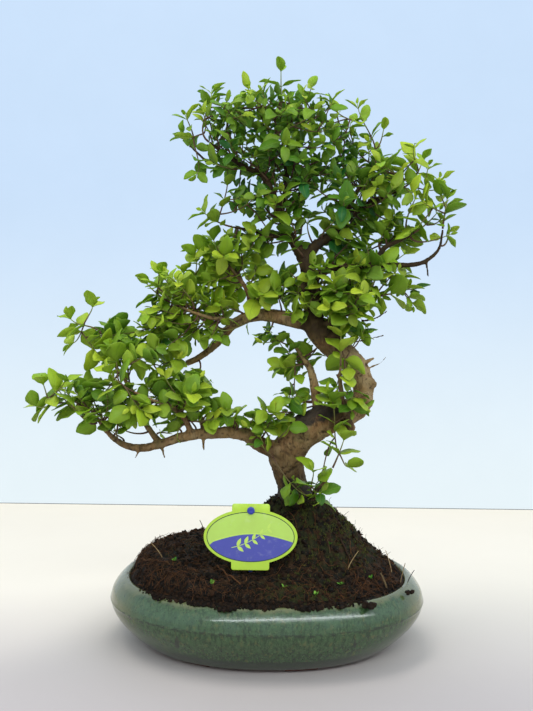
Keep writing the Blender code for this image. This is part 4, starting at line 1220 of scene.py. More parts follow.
def make_fibre_finish(name, dark, light, rough=0.8):
    """Thin dry or living strands, leaves or crumbs, each with its own tint."""
    made, board, shader = new_material(name)
    place = board.object_place()
    colour = board.mix(board.attribute("tint"), dark, light)
    board.wire(shader, {
        "Base Color": board.shading(colour, place, 320, 0.5),
        "Roughness": board.span(board.noise(place, 250), 0.3, 0.7, rough - 0.12, rough + 0.1),
        "Specular IOR Level": 0.2,
        "Normal": board.relief(place, 600, 1500, 0.4, 0.35, 0.6),
    })
    return made


def make_plastic(name, colour, rough=0.34):
    """Plain printed or moulded plastic with faint clouding, scuffs and dust."""
    made, board, shader = new_material(name)
    place = board.object_place()
    dust = board.mottle(place, 170, 0.55, 0.75)
    scuffs = board.noise(board.stretched(place, (1, 1, 6)), 200, 4, 0.7)
    board.wire(shader, {
        "Base Color": board.cover(board.shading(colour, place, 60, 0.10), DUST, dust, 0.12),
        "Roughness": board.scaled(dust, 0.25, rough),
        "Normal": board.bump(scuffs, 0.08, 0.4),
    })
    return made


def make_backdrop(name, near, far, low, high, own_light=0.0):
    """A plain surface whose colour changes evenly in height or depth, and that is clear from behind. On the
    table and the wall this change is painted light and shade, and with own_light the surface glows by
    itself.
    """
    made, board, shader = new_material(name)
    place = board.object_place()
    _, y, z = board.axes(place)
    colour = board.mix(board.span(board.math("ADD", y, z), low, high), near, far)
    colour = board.shading(colour, place, 3, 0.03)
    board.wire(shader, {
        "Base Color": UNLIT if own_light else colour,
        "Roughness": board.span(board.noise(place, 20), 0.2, 0.8, 0.75, 0.9),
    })
    if own_light:
        board.wire(shader, {"Emission Color": colour, "Emission Strength": own_light})
    from_behind = board.node("NewGeometry").outputs["Backfacing"]
    blend_shaders(board, from_behind, shader, board.node("BsdfTransparent"))
    return made


# The pot
POT_STEPS, PROFILE_STEP, INSIDE_STEP = 192, 1.4, 4
POT_SKIN = (  # (half length, height), with the undercut foot and the ridge round the widest place
    (106, 0), (109, 0.3), (109.6, 2.6), (113, 2.9), (117.8, 3.5), (122.5, 6.4), (129.5, 12.3),
    (136, 18.8), (141.5, 25), (145.6, 31), (148.2, 36.6), (149.2, 41.0), (149.9, 42.7), (149.2, 44.5),
    (148.5, 48), (146.9, 52), (143.8, 56.2), (140.6, 59.6), (137.9, 61.7), (135.6, 62.8), (133.6, 62.9),
    (132.2, 62.2), (131.4, 60.8),
)
FEET = ((214, 245), (277, 292), (40, 62), (128, 150))  # degrees round the plan where a clay foot stands out
FEET_HALF, FEET_STEPS = 110.4, 24
FOOT_SECTION = ((-4, 0), (0, 0), (0.9, 0.6), (0.9, 2.3), (0, 2.8), (-4, 2.8))  # (outwards, up)


def build_pot(look):
    profile = [
        *smooth([(half, 0, z, 0) for half, z in POT_SKIN], PROFILE_STEP),
        *smooth([(half, 0, z, 0) for half, z in POT_INSIDE], INSIDE_STEP),
    ]
    pot = loft("glazed_pot", [oval(half, half * POT_DEPTH_SHARE, z, POT_STEPS) for half, _, z, _ in profile])
    for x in (-DRAIN_X, DRAIN_X):
        drill([pot], 32, DRAIN_RADIUS, 2 * DRAIN_CUT, (x, 0, 0))
    feet = []
    for first, last in FEET:
        sections = []
        for i in range(FEET_STEPS + 1):
            angle = math.radians(first + (last - first) * i / FEET_STEPS)
            out = Vector((math.cos(angle), math.sin(angle) * POT_DEPTH_SHARE, 0))
            sections.append([on_plan(FEET_HALF, angle) + out * w + UP * h for w, h in FOOT_SECTION])
        feet.append(loft("foot", sections))
    finish_piece(join(pot, *feet), "glaze", "pot", finish=make_glaze(look), angle=40)


# The soil, and what lies and grows on it
SOIL_STEPS, SOIL_SHARES = 320, 84
SCATTER_WITHIN, RIM_FROM = 0.965, 0.985  # shares of the opening: 0 in its middle, 1 at its edge
CRUMB_COUNT, CRUMB_SIZES = 3200, (0.5, 3.2)
SPILL_COUNT, SPILL_SIZES = 1500, (0.8, 2.5)  # crumbs on the rim, most of them along its front
SPILL_DRAW, SPILL_FRONT = (196, 312, 262), 0.8  # from, to and likeliest degrees, and how many are drawn so
SPILL_FROM, SPILL_TO = 214, 306  # degrees round the plan where crumbs lie on the rim
FIBRE_COUNT, FIBRE_STEP, FIBRE_LENGTHS = 900, 1.8, (6, 24)
MAT_COUNT, MAT_LEFT, MAT_FRONT = 380, (160, 232), (200, 345)  # where its strands start, in degrees
MAT_STRANDS = ((7, 22), (0.13, 0.28), (0.5, 1.6), (0.98, 1.06))  # limits of what lying_strand is given
HAIR_COUNT, HAIR_HEIGHTS, HAIR_LEANS = 90, (3, 10), (2, 9)
MOSS_COUNT, MOSS_SPREAD = 760, ((52, 38), (-22, 42))  # (middle, spread) along x and along y
SPIKES, SPIKE_HALF, SPIKE_HEIGHT = 6, (0.25, 0.5), (1.2, 3.2)
CLUMP_CLODS = 7
RIM_CLUMPS = (  # (x, y, size)
    (17, -99, 3.6), (41, -100, 3.0), (87, -93, 4.2), (128, -58, 2.4), (-60, -95, 2.2), (64, -97, 2.0),
)
SEEDLINGS = ((-48, -78), (15, -76), (66, -64), (94, -46), (42, -86), (-86, -40), (58, -30))
DEAD_STALKS = (  # (foot x, foot y, lean x, lean y, height, radius)
    (109, -50, -6, 0, 14, 1.1), (124, -32, 4, -2, 20, 0.5), (131, -28, 6, -4, 14, 0.45),
    (118, -20, -6, 3, 20, 0.4), (-98, -30, -10, -4, 14, 0.6), (74, -40, 9, -5, 18, 0.5),
    (58, -34, -3, -6, 14, 0.45), (-60, 20, -8, 4, 18, 0.5), (40, 60, 6, 8, 18, 0.5),
    (-20, 64, 3, 9, 15, 0.5),
)


def share_of_opening(x, y):
    """0 in the middle of the pot's opening, and 1 at the soil's edge."""
    across, deep = abs(x) / SOIL_HALF, abs(y) / (SOIL_HALF * POT_DEPTH_SHARE)
    return (across**OVAL_POWER + deep**OVAL_POWER) ** (1 / OVAL_POWER)


def ground(x, y):
    """Height of the soil's crumbly surface at a place in the pot's opening."""
    share = min(share_of_opening(x, y), 1)
    lumps = 2.6 * noise.noise(Vector((x, y, 0)) / 15) + grit(x, y)
    return soil_height(x, y, share) + lumps * (1 - share**20)


def grit(x, y):
    """The small unevenness of the soil, which also sets the painted shade in its hollows and its rusty
    crumbs.
    """
    place = Vector((x, y, 0))
    return 2.3 * noise.noise(place / 6) + 1.5 * noise.noise(place / 2.7 + Vector((9, 0, 0)))


def rim_height(share):
    """Height of the pot's rounded rim, from the opening's edge at share 1 outwards."""
    return RIM_TOP - 0.25 - 30 * max(0, share - 1.035) - 26 * max(0, 1.015 - share)


def rest_height(x, y, share):
    """Height of what a thing lies on here: the soil, or the pot's rim."""
    return max(ground(x, y), rim_height(share) if share > RIM_FROM else 0)


def build_soil(look):
    floor = (POT_INSIDE[-1][0] - 3, POT_INSIDE[-1][1] + SOIL_WALL_GAP)
    rings = []
    for half, z in (floor, *reversed(POT_INSIDE[:-1]), (OPENING_HALF, OPENING_Z)):
        rings.append(oval(half - SOIL_WALL_GAP, half * POT_DEPTH_SHARE - SOIL_WALL_GAP, z, SOIL_STEPS))
    for i in range(1, SOIL_SHARES):
        share = 1 - i / SOIL_SHARES
        if i < 6:
            share **= 0.8
        plan = oval(SOIL_HALF * share, SOIL_HALF * POT_DEPTH_SHARE * share, 0, SOIL_STEPS)
        rings.append([Vector((v.x, v.y, ground(v.x, v.y))) for v in plan])
    soil = loft("soil_surface", rings)
    places = places_of(soil) / METRES
    mark(soil, "moss", moss_share(places))
    mark(soil, "grit", [0.5 + grit(x, y) / 3 for x, y, _ in places])
    finish_piece(soil, "soil", "soil", finish=make_soil_finish(look))


def moss_share(places):
    """How mossy each place is: most at the trunk's foot and on the slope to its right."""
    x, y, z = places[:, 0], places[:, 1], places[:, 2]
    foot = np.clip((z - 82) / 26, 0, 1)
    right = np.clip((x - 10) / 50, 0.25, 1) * np.clip((z - 72) / 10, 0, 1)
    front = np.clip(1.2 - np.hypot((x - 36) / 48, (y + 84) / 26), 0, 0.8)
    return np.clip(foot * 0.8 + right * 0.5 + front, 0, 1)


def scatter(draw, count):
    """Places on the soil, denser in patches."""
    found = []
    while len(found) < count:
        x = draw.uniform(-OPENING_HALF, OPENING_HALF)
        y = draw.uniform(-OPENING_HALF, OPENING_HALF) * POT_DEPTH_SHARE
        patch = 0.5 + 0.5 * noise.noise(Vector((x, y, 40)) / 22)
        if share_of_opening(x, y) < SCATTER_WITHIN and draw.random() < 0.35 + patch:
            found.append((x, y))
    return found


def rough_patterns(count, roundness, amount):
    """A few rough lumps, each one an icosphere pushed about by noise: (places, faces)."""
    found = []
    for number in range(count):
        deselect()
        bpy.ops.mesh.primitive_ico_sphere_add(subdivisions=roundness, radius=1)
        lump = bpy.context.object
        places = places_of(lump)
        for place in places:
            push = noise.noise(Vector(place) * 1.3 + Vector((number * 9, 0, 0)))
            place *= 1 + amount * push
        found.append((places, [tuple(face.vertices) for face in lump.data.polygons]))
        bpy.data.objects.remove(lump, do_unlink=True)
    return found


def turned(draw):
    """A random turn, as rows of a matrix."""
    x, y, z = (Matrix.Rotation(draw.uniform(0, math.tau), 3, axis) for axis in "XYZ")
    return np.array(x @ y @ z)


class Heap:
    """Many copies of small patterns, gathered into one mesh with each one's own marks for the materials."""

    def __init__(self):
        self.places, self.faces, self.marks, self.count = [], [], collections.defaultdict(list), 0

    def add(self, places, faces, **marks):
        self.places.append(places)
        self.faces += [tuple(v + self.count for v in face) for face in faces]
        for key, value in marks.items():
            self.marks[key].append(np.broadcast_to(value, len(places)))
        self.count += len(places)

    def make(self, name, finish):
        obj = mesh_object(name, np.concatenate(self.places), self.faces, finish)
        for key, values in self.marks.items():
            mark(obj, key, np.concatenate(values))
        return obj


def add_crumb(heap, draw, patterns, spot, size, widths, heights, lightest):
    """One crumb, squashed by shares within these limits and turned at random."""
    places, faces = draw.choice(patterns)
    squash = np.array([1, draw.uniform(*widths), draw.uniform(*heights)]) * size
    heap.add((places * squash) @ turned(draw).T + np.array(spot), faces, tint=lightest * draw.random() ** 2)


def build_crumbs(look):
    """Crumbs on the soil and spilled on the rim, and clods where the soil stands above the rim."""
    draw = random.Random(31)
    patterns, clods = rough_patterns(5, 1, 0.7), rough_patterns(3, 2, 0.6)
    heap = Heap()
    for x, y in scatter(draw, CRUMB_COUNT):
        size = draw.uniform(*CRUMB_SIZES) * draw.uniform(0.35, 1.0)
        add_crumb(heap, draw, patterns, (x, y, ground(x, y) + size * 0.2), size, (0.5, 1), (0.4, 0.9), 1)
    for _ in range(SPILL_COUNT):
        degrees = draw.triangular(*SPILL_DRAW) if draw.random() < SPILL_FRONT else draw.uniform(0, 360)
        ragged = 0.5 + 0.9 * noise.noise(Vector((degrees / 9, 0, 5)))
        outside = (0.03 + 0.09 * max(0, ragged)) * (SPILL_FROM < degrees < SPILL_TO)
        share = 0.955 + (0.03 + outside) * draw.random()
        spot = on_plan(SOIL_HALF, math.radians(degrees)) * share
        size = draw.uniform(*SPILL_SIZES)
        spot.z = rest_height(spot.x, spot.y, share) + size * 0.25
        add_crumb(heap, draw, patterns, spot, size, (0.6, 1), (0.5, 0.8), 0.6)
    for x, y, size in RIM_CLUMPS:
        for _ in range(CLUMP_CLODS):
            places, faces = draw.choice(clods)
            spot = np.array((x + draw.uniform(-1, 1) * size * 1.3, y + draw.uniform(-0.6, 0.6) * size, 0))
            below = RIM_TOP - 1 if share_of_opening(*spot[:2]) > 0.95 else 0
            spot[2] = max(ground(*spot[:2]), below) + size * draw.uniform(0.0, 0.5)
            clod = (places * size * draw.uniform(0.4, 0.8)) @ turned(draw).T
            heap.add(clod + spot, faces, tint=0.4 * draw.random())
    crumbs = heap.make("soil_crumbs", make_fibre_finish("crumb", look.earth, look.rust, 0.9))
    finish_piece(crumbs, "soil", angle=35)


def make_strands(name, paths, draw, finish, *nodes, roundness=1, angle=ALL_EDGES):
    """Thin strands as one finished piece, each with its own random tint, without those too short to show."""
    paths = [path for path in paths if len(path) > 2]
    strands = rods(name, paths, roundness)
    sides = rod_sides(roundness)
    mark(strands, "tint", np.concatenate([np.full(len(path) * sides, draw.random()) for path in paths]))
    finish_piece(strands, "root", *nodes, finish=finish, angle=angle)


def lying_strand(draw, x, y, length, radius, lift=0.5, most_share=RIM_FROM):
    """A thin wandering strand over the soil, or over the rim as far as most_share."""
    heading, bend = draw.uniform(0, math.tau), draw.uniform(-0.12, 0.12)
    path, hump = [], draw.uniform(0, 1)
    steps = max(3, round(length / FIBRE_STEP))
    for i in range(steps + 1):
        share = share_of_opening(x, y)
        if share > most_share:
            break
        rise = lift * (1 + hump * math.sin(math.pi * i / steps) * 3)
        z = rest_height(x, y, share) + radius + rise * draw.uniform(0.6, 1.2)
        path.append((x, y, z, radius * (1 - 0.6 * i / steps)))
        heading += bend + draw.uniform(-0.45, 0.45)
        x += math.cos(heading) * FIBRE_STEP
        y += math.sin(heading) * FIBRE_STEP
    return path


def build_fibres(look):
    """Fine rusty roots over the soil, and a mat of them at the left end."""
    draw = random.Random(47)
    paths = []
    for x, y in scatter(draw, FIBRE_COUNT):
        length = draw.uniform(*FIBRE_LENGTHS)
        paths.append(lying_strand(draw, x, y, length, 0.13 + 0.27 * draw.random() ** 3))
    for i in range(MAT_COUNT):
        degrees = draw.uniform(*(MAT_LEFT if i % 2 else MAT_FRONT))
        spot = on_plan(SOIL_HALF, math.radians(degrees)) * draw.uniform(0.86, 1.0)
        strand = [draw.uniform(*limits) for limits in MAT_STRANDS]
        paths.append(lying_strand(draw, spot.x, spot.y, *strand))
    for i in range(HAIR_COUNT):
        x = draw.uniform(-112, -24) if i % 3 == 0 else draw.uniform(44, 128)
        paths.append(standing_hair(draw, x, draw.gauss(-4, 16)))
    finish = make_fibre_finish("fibre", look.root_dark, look.root_light)
    make_strands("soil_fibres", paths, draw, finish, roundness=0)


def standing_hair(draw, x, y):
    """A short bent root end that sticks out of the soil."""
    height, lean = draw.uniform(*HAIR_HEIGHTS), draw.uniform(*HAIR_LEANS)
    heading = draw.uniform(0, math.tau)
    base, path = ground(x, y) - 1, []
    for s in (0, 0.25, 0.5, 0.75, 1):
        heading += draw.uniform(-0.5, 0.5)
        away = lean * s**1.5
        aside, ahead = math.cos(heading) * away, math.sin(heading) * away
        path.append((x + aside, y + ahead, base + height * s, 0.26 - 0.14 * s))
    return path


def build_moss(look):
    """Short green spikes in tufts on the trunk's mound, mostly on its right."""
    draw = random.Random(61)
    heap = Heap()
    faces = [(0, 1, 3), (1, 2, 3), (2, 0, 3), (0, 2, 1)]
    made = 0
    while made < MOSS_COUNT:
        x, y = (draw.gauss(*spread) for spread in MOSS_SPREAD)
        if share_of_opening(x, y) > 0.95:
            continue
        place = np.array([[x, y, ground(x, y)]])
        if draw.random() > moss_share(place)[0] * (0.5 + noise.noise(Vector((x, y, 9)) / 14)):
            continue
        made += 1
        for _ in range(SPIKES):
            spread, height = draw.uniform(*SPIKE_HALF), draw.uniform(*SPIKE_HEIGHT)
            foot = place[0] + [draw.uniform(-1.3, 1.3), draw.uniform(-1.3, 1.3), -0.3]
            corners = [foot + [spread * math.cos(a), spread * math.sin(a), 0] for a in (0, 2.1, 4.2)]
            tip = foot + [draw.uniform(-1, 1), draw.uniform(-1, 1), height]
            heap.add(np.array([*corners, tip]), faces, tint=draw.random())
    moss = heap.make("moss_tufts", make_fibre_finish("moss", look.moss, look.moss_light))
    finish_piece(moss, "leaf_old", angle=None)


def build_seedlings(look):
    """Small bright seedlings, each of four round leaves."""
    draw = random.Random(67)
    heap = Heap()
    outline = ((0, 0), (0.35, 0.3), (0.75, 0.26), (1, 0), (0.75, -0.26), (0.35, -0.3))
    blade = np.array([(x, y, 0.12 * x) for x, y in outline] + [(0.5, 0, 0.09), (0.5, 0, 0.02)])
    faces = [(k, (k + 1) % 6, 6) for k in range(6)] + [((k + 1) % 6, k, 7) for k in range(6)]
    for x, y in SEEDLINGS:
        first = draw.uniform(0, math.tau)
        for k in range(4):
            turn = Matrix.Rotation(first + k * 1.57 + draw.uniform(-0.3, 0.3), 3, "Z")
            turn = turn @ Matrix.Rotation(-draw.uniform(0.3, 1.0), 3, "Y")
            leaf = (blade * draw.uniform(3.0, 5.0)) @ np.array(turn).T
            heap.add(leaf + np.array((x, y, ground(x, y) + 0.4)), faces, tint=draw.random())
    seedlings = heap.make("seedlings", make_fibre_finish("seedling", look.seedling, look.seedling_light))
    finish_piece(seedlings, "leaf_young", angle=None)


def build_stalks(look):
    """Dead stalks that stand in the soil."""
    paths = []
    for x, y, lean_x, lean_y, height, radius in DEAD_STALKS:
        base = ground(x, y) - 2
        shares = [i / 6 for i in range(7)]
        paths.append([
            (x + lean_x * s**1.4, y + lean_y * s**1.4, base + (height + 2) * s, radius * (1 - 0.35 * s))
            for s in shares
        ])
    finish = make_fibre_finish("stalk", look.root_dark, look.stalk)
    make_strands("dead_stalks", paths, random.Random(71), finish, angle=50)


def build_surface_roots(look):
    """The three thin dead roots of the model, finer, on this soil's own surface."""
    finish = make_fibre_finish("surface_root", look.root_dark, look.root_light)
    for number, (name, plan) in enumerate(SURFACE_ROOTS.items()):
        draw = random.Random(80 + number)
        path = []
        points = smooth([(x, y, 0, 0) for x, y in plan], 1.6)
        for i, (x, y, _, _) in enumerate(points):
            radius = ROOT_RADIUS * (1.1 - 0.5 * i / len(points)) * draw.uniform(0.9, 1.1)
            below = max(ground(x + a * 0.9, y + b * 0.9) for a in (-1, 0, 1) for b in (-1, 0, 1))
            path.append((x, y, below + radius * 0.8, radius))
        paths = [path]
        for _ in range(5):
            start = draw.choice(path[2:-2])
            paths.append(lying_strand(draw, start[0], start[1], draw.uniform(8, 20), 0.35))
        make_strands(name.replace("surface", "lying"), paths, draw, finish, name)


SOIL_PIECES = (
    build_soil, build_crumbs, build_fibres, build_moss, build_seedlings, build_stalks, build_surface_roots,
)


# The wood
VOXEL, WOOD_STEP = 1.15, 2.4
FLARES = (  # (degrees round the trunk, reach, radius)
    (200, 44, 8.5), (250, 38, 8), (300, 40, 9), (345, 42, 8.5), (35, 40, 8), (95, 38, 8), (150, 42, 8),
)
FLARE_SHAPE = ((0.28, 122, 0.8), (0.5, 108, 1.0), (0.75, 94, 0.8), (1.0, 80, 0.4))  # (reach, height, radius)
THICK_LIMB, BENT_LIMB, STAINED_LIMB = 5.5, 6, 7.5  # radii from which bark is smoothed, worn pale and stained
BARK_STRETCH, LUMP_SHARE, DEEPEST_RIDGE = 0.62, 0.13, 1.35  # lumps are a share of the limb's radius
SIDE_TWIGS = (  # the front twig's broad foot, its own snag, and thin dead ends on the limbs
    ((78, -15, 204, 4.4), (75, -20, 210, 4.0), (71, -25, 219, 3.2), (67, -30, 232, 2.6)),
    ((65, -32, 252, 1.6), (61, -33, 257, 1.1)),
    ((97, 2, 262, 1.7), (106, 0, 266, 1.3), (112, -2, 273, 0.9)),
    ((60, -8, 284, 1.8), (84, -8, 287, 1.3), (108, -12, 293, 0.8)),
    ((-60, -12, 452, 1.5), (-78, -14, 468, 1.0)),
    ((86, -8, 306, 1.4), (99, -13, 309, 1.0), (110, -14, 316, 0.8)),
    ((-120, -31, 184, 1.2), (-124, -32, 176, 0.8)),
)
SMALLER_KNOB = ((8, -5, 172), 8.5)  # the model's first knob, smoothed into the trunk
WARTS = (
    ((9, -13, 182), 6.5), ((34, -17, 205), 6), ((92, -8, 232), 6.5), ((98, 0, 246), 6), ((84, -6, 262), 6.5),
    ((66, -11, 274), 5.5), ((50, -13, 296), 5), ((20, -12, 172), 6),
    ((42, -9, 320), 3.6), ((-12, -13, 193), 3.4), ((34, 12, 366), 3.6), ((86, 10, 250), 6),
)


def build_wood(look):
    lines = (*PATHS.values(), *STUBS, *SIDE_TWIGS, *(flare(*given) for given in FLARES))
    wood = rods("bonsai_wood", [smooth(line, WOOD_STEP) for line in lines], 4)
    knobs = []
    for middle, radius in (SMALLER_KNOB, *KNOBS[1:], *WARTS):
        deselect()
        place = Vector(middle) * METRES
        bpy.ops.mesh.primitive_ico_sphere_add(subdivisions=3, radius=radius * METRES, location=place)
        knobs.append(bpy.context.object)
        bpy.ops.object.transform_apply()
    wood = join(wood, *knobs)
    apply(wood, "REMESH", mode="VOXEL", voxel_size=VOXEL * METRES)
    samples = [sample for path in PATHS.values() for sample in with_ways(smooth(path, 2))]
    finder = finder_of([middle for middle, _, _ in samples])
    thick = wood.vertex_groups.new(name="thick")
    radii = [samples[finder.find(place)[1]][2] for place in places_of(wood) / METRES]
    thick.add([i for i, radius in enumerate(radii) if radius > THICK_LIMB], 1.0, "REPLACE")
    apply(wood, "SMOOTH", factor=0.5, iterations=2)
    apply(wood, "SMOOTH", factor=0.6, iterations=14, vertex_group="thick")
    shape_bark(wood, samples, finder)
    finish_piece(wood, "bark", "trunk_and_limbs", finish=make_bark(look))


def flare(degrees, reach, radius):
    """A root flare, from inside the trunk's foot outwards and down into the soil."""
    way = Vector((math.cos(math.radians(degrees)), math.sin(math.radians(degrees)) * 0.72, 0))
    x, y = TRUNK[0][:2]
    return [
        (x + way.x * reach * share, y + way.y * reach * share, z, radius * swell)
        for share, z, swell in FLARE_SHAPE
    ]


def with_ways(points):
    """These points as (middle, direction, radius)."""
    found = []
    for i, point in enumerate(points):
        before, after = Vector(points[max(i - 1, 0)][:3]), Vector(points[min(i + 1, len(points) - 1)][:3])
        found.append((Vector(point[:3]), (after - before).normalized(), point[3]))
    return found


def finder_of(places):
    """What finds the nearest of these places."""
    finder = KDTree(len(places))
    for i, place in enumerate(places):
        finder.insert(place, i)
    finder.balance()
    return finder


def shape_bark(wood, samples, finder):
    """Pushes the surface in and out as bark, by lumps and by ridges along each limb, and marks it."""
    places = places_of(wood) / METRES
    normals = np.empty(len(places) * 3)
    wood.data.vertices.foreach_get("normal", normals)
    normals = normals.reshape(-1, 3)
    marks = {name: np.zeros(len(places)) for name in ("hollow", "stain", "pale", "moss", "brown")}
    for i, (place, normal) in enumerate(zip(places, normals)):
        here = Vector(place)
        _, way, radius = samples[finder.find(here)[1]]
        flat = here - way * way.dot(here) * BARK_STRETCH
        size = min(radius, 18)
        lumps = noise.noise(here / (size * 1.6 + 2)) * size * LUMP_SHARE
        ridge = 1 - abs(noise.noise(flat / 4.2 + Vector((7, 3, 1)))) * 2.2
        broken = noise.noise(here / 7 + Vector((31, 0, 0)))
        depth = min(DEEPEST_RIDGE, 0.10 * size + 0.06)
        fine = noise.noise(flat / 1.9) * 0.16 * min(1, size / 6)
        places[i] += normal * (lumps + (ridge - 0.45) * depth * (0.75 + 0.6 * broken) * 0.62 + fine)
        x, y, z = here
        upward = normal[2]
        brown = min(1, brown_at(x, y, z) * (1.1 + 0.4 * broken))
        bend = nearness(x - 92, z - 250, 34, 42) * 2.2 if radius > BENT_LIMB else 0
        # The undersides of the limbs below z 230 are made paler too.
        below = max(0, -0.6 * upward) * (z < 230)
        marks["hollow"][i] = clamp(0.55 - ridge * 0.9 + 0.1 * broken)
        marks["stain"][i] = stain_at(x, z, upward) if radius > STAINED_LIMB or z < 228 else 0.1
        marks["brown"][i] = brown
        marks["pale"][i] = min(1, 0.3 + bend + below) * (1 - brown)
        marks["moss"][i] = clamp((150 - z) / 40) * 0.9
    move_places(wood, places * METRES)
    for name, values in marks.items():
        mark(wood, name, values)


def stain_at(x, z, upward):
    """Charcoal stains: on top of the trunk's first bend, on its left knob, and on its foot near the soil."""
    right, above = x - 47, z - 217
    near = nearness(right * 0.95 + above * 0.31, above * 0.95 - right * 0.31, 32, 15)
    knob = nearness(x - 2, z - 166, 18, 14)
    return min(1.3, near * 3.2 * max(0, 0.45 + upward * 0.8)) + knob * 0.2 + clamp((168 - z) / 26, 1.2)


def brown_at(x, y, z):
    """How brown the bark is: in the crown, on the twig before the bend, and a little on the lower trunk."""
    crown = clamp((z - 270) / 28) * clamp((x - 18) / 14)
    twig = 0.6 * (y < -19 and 56 < x < 82 and z > 204)
    low = 0.45 * clamp((205 - z) / 30) * (x < 60)
    return max(crown, clamp((z - 340) / 25), twig, low)


# The foliage
LEAF_ROWS = (  # (share of length, share of half width), from inside the twig to the tip
    (-0.05, 0.07), (0.04, 0.2), (0.14, 0.62), (0.28, 0.93), (0.45, 1.02), (0.62, 0.94), (0.78, 0.74),
    (0.91, 0.44), (1.0, 0.07),
)
LEAF_SHAPES = (  # limits of a leaf's fold, sag, wave, wave's phase, unevenness, lean, curl and twist
    (0.10, 0.55), (0.02, 0.30), (0.02, 0.11), (0, 6), (0.03, 0.10), (-0.06, 0.06), (-0.1, 0.35),
    (-0.35, 0.35),
)
LEAF_CELLS_ACROSS, LEAF_PATTERNS, PATTERN_LENGTH = 2, 10, 20.0
LEAF_BREADTHS, LEAF_SIZES = (0.94, 1.2), (0.81, 0.97)  # times those of the blade that was grown
TWIG_STEPS, TWIG_SHARE, TWIG_TIP = 11, 0.72, 0.42
STRAY = 3.0  # a shoot of the model's that starts further than this from every spray is an error


def leaf_patterns(thickness):
    """A few shapes of leaf, each a bent grid made thick: (places, faces, is under, places on the blade)."""
    draw = random.Random(5)
    found = []
    rows = len(LEAF_ROWS) - 1
    for _ in range(LEAF_PATTERNS):
        deselect()
        bpy.ops.mesh.primitive_grid_add(x_subdivisions=LEAF_CELLS_ACROSS, y_subdivisions=rows, size=1)
        leaf = bpy.context.object
        fold, sag, wave, phase, uneven, lean, curl, twist = (draw.uniform(*limits) for limits in LEAF_SHAPES)
        blade = []
        for vert in leaf.data.vertices:
            across = vert.co.x * 2
            share, spread = LEAF_ROWS[round((vert.co.y + 0.5) * rows)]
            out = max(share, 0)
            half = spread * LEAF_WIDTH_SHARE / 2
            lift = fold * half * (abs(across) * 1.25 - 0.5 * across**2)
            ripple = wave * half * abs(across) * math.sin(share * 9 + phase + (2.1 if across > 0 else 0))
            half *= 1 + uneven * math.sin(share * 12 + phase * 2 + (1.7 if across > 0 else 0))
            x = half * across + lean * math.sin(math.pi * out)
            z = lift + ripple * 2 - sag * out**2 - curl * max(share - 0.6, 0) ** 2 + twist * x * share
            blade.append((across / 2 + 0.5, out))
            vert.co = Vector((x, share, z)) * PATTERN_LENGTH * METRES
        count = len(blade)
        apply(leaf, "SOLIDIFY", thickness=thickness, offset=-1)
        places = places_of(leaf) / (PATTERN_LENGTH * METRES)
        faces = [tuple(face.vertices) for face in leaf.data.polygons]
        under = np.array([float(i >= count) for i in range(len(places))])
        on_blade = np.array([blade[i % count] for i in range(len(places))])
        found.append((places, faces, under, on_blade))
        bpy.data.objects.remove(leaf, do_unlink=True)
    return found


def name_nodes(growth, model_count):
    """Notes on every shoot which of the model's sprays it belongs to."""
    names, places = [], []
    for name, node in frame["nodes"].items():
        if name.startswith("spray_"):
            places += [vert.co.copy() for vert in node.data.vertices]
            names += [name] * len(node.data.vertices)
    finder, strays = finder_of(places), 0
    for number, shoot in enumerate(growth.shoots):
        if shoot.spray != number:
            shoot.node = growth.shoots[shoot.spray].node
            continue
        station = 0 if number < model_count else -1
        _, found, gap = finder.find(shoot.stations[station][0] * METRES)
        shoot.node = names[found]
        strays += number < model_count and gap > STRAY * METRES
    if strays:
        raise RuntimeError(f"{strays} of the model's shoots don't start where its sprays do")


def twig_path(shoot):
    """The shoot's middle line, thinner than the model's and swollen at its nodes."""
    path = []
    for i in range(TWIG_STEPS + 1):
        s = i / TWIG_STEPS
        radius = shoot.radius * TWIG_SHARE * (1 - s) + TWIG_TIP * s
        path.append((*shoot.place(s), radius))
    way = shoot.stations[-1][1]
    path.append((*(shoot.place(1) + way * SMALL_STEM), TWIG_TIP * 0.8))
    return path


def youth_and_light_of(place, order, luck):
    """0 for a dark leaf, 1 for a pale one, which mixes age with painted light and shade: by height, how far
    out, and its place on the shoot. New growth is paler at the top, on the right and at a shoot's tip; the
    low clusters and a patch at the middle left get painted light, and leaves deep inside the clouds get
    painted shade.
    """
    # low and lit add painted light; outer lightens leaves on a cloud's outside and darkens those deep inside
    # it with painted shade.
    low, top, right = clamp((445 - place.z) / 100), clamp((place.z - 435) / 60), clamp((place.x - 60) / 60)
    shell = math.sqrt(min(far_out(place, middle, half) for middle, half, _ in CLOUDS))
    outer = min(1.1, shell) - 0.72
    lit = 0.8 * nearness(place.x + 62, place.z - 345, 75, 62)
    step = {-1: 0.22, 0: 0.08, 1: -0.02}.get(order, -0.12)
    return clamp(0.06 + max(0.58 * low, 0.38 * top, 0.68 * right) + lit + 0.8 * outer + step + luck)


def spray_leaves(name, blades, patterns, draw, finish):
    """The leaves of one spray as one mesh, slimmer and smaller towards the crown."""
    heap, on_blades = Heap(), []
    for owner, leaf, order in blades:
        places, faces, under, on_blade = draw.choice(patterns)
        # The leaf's mark holds its age and its painted light and shade.
        youth = youth_and_light_of(leaf.base, order, owner.luck + draw.gauss(0, 0.14))
        slim = clamp((leaf.base.z - 320) / 160)
        narrow = draw.uniform(*LEAF_BREADTHS) * (0.8 if order < 0 else 1.12 - 0.3 * slim)
        size = leaf.length * draw.uniform(*LEAF_SIZES) * (1.06 - 0.14 * slim)
        turn = np.array([leaf.side * narrow, leaf.along, leaf.face]) * size
        heap.add(places @ turn + np.array(leaf.base), faces, youth=youth, tint=draw.random(), under=under)
        on_blades.append(on_blade)
    leaves = heap.make(name, finish)
    corners = np.empty(len(leaves.data.loops), int)
    leaves.data.loops.foreach_get("vertex_index", corners)
    layer = leaves.data.uv_layers.new(name="blade")
    layer.data.foreach_set("uv", np.concatenate(on_blades)[corners].ravel())
    return leaves


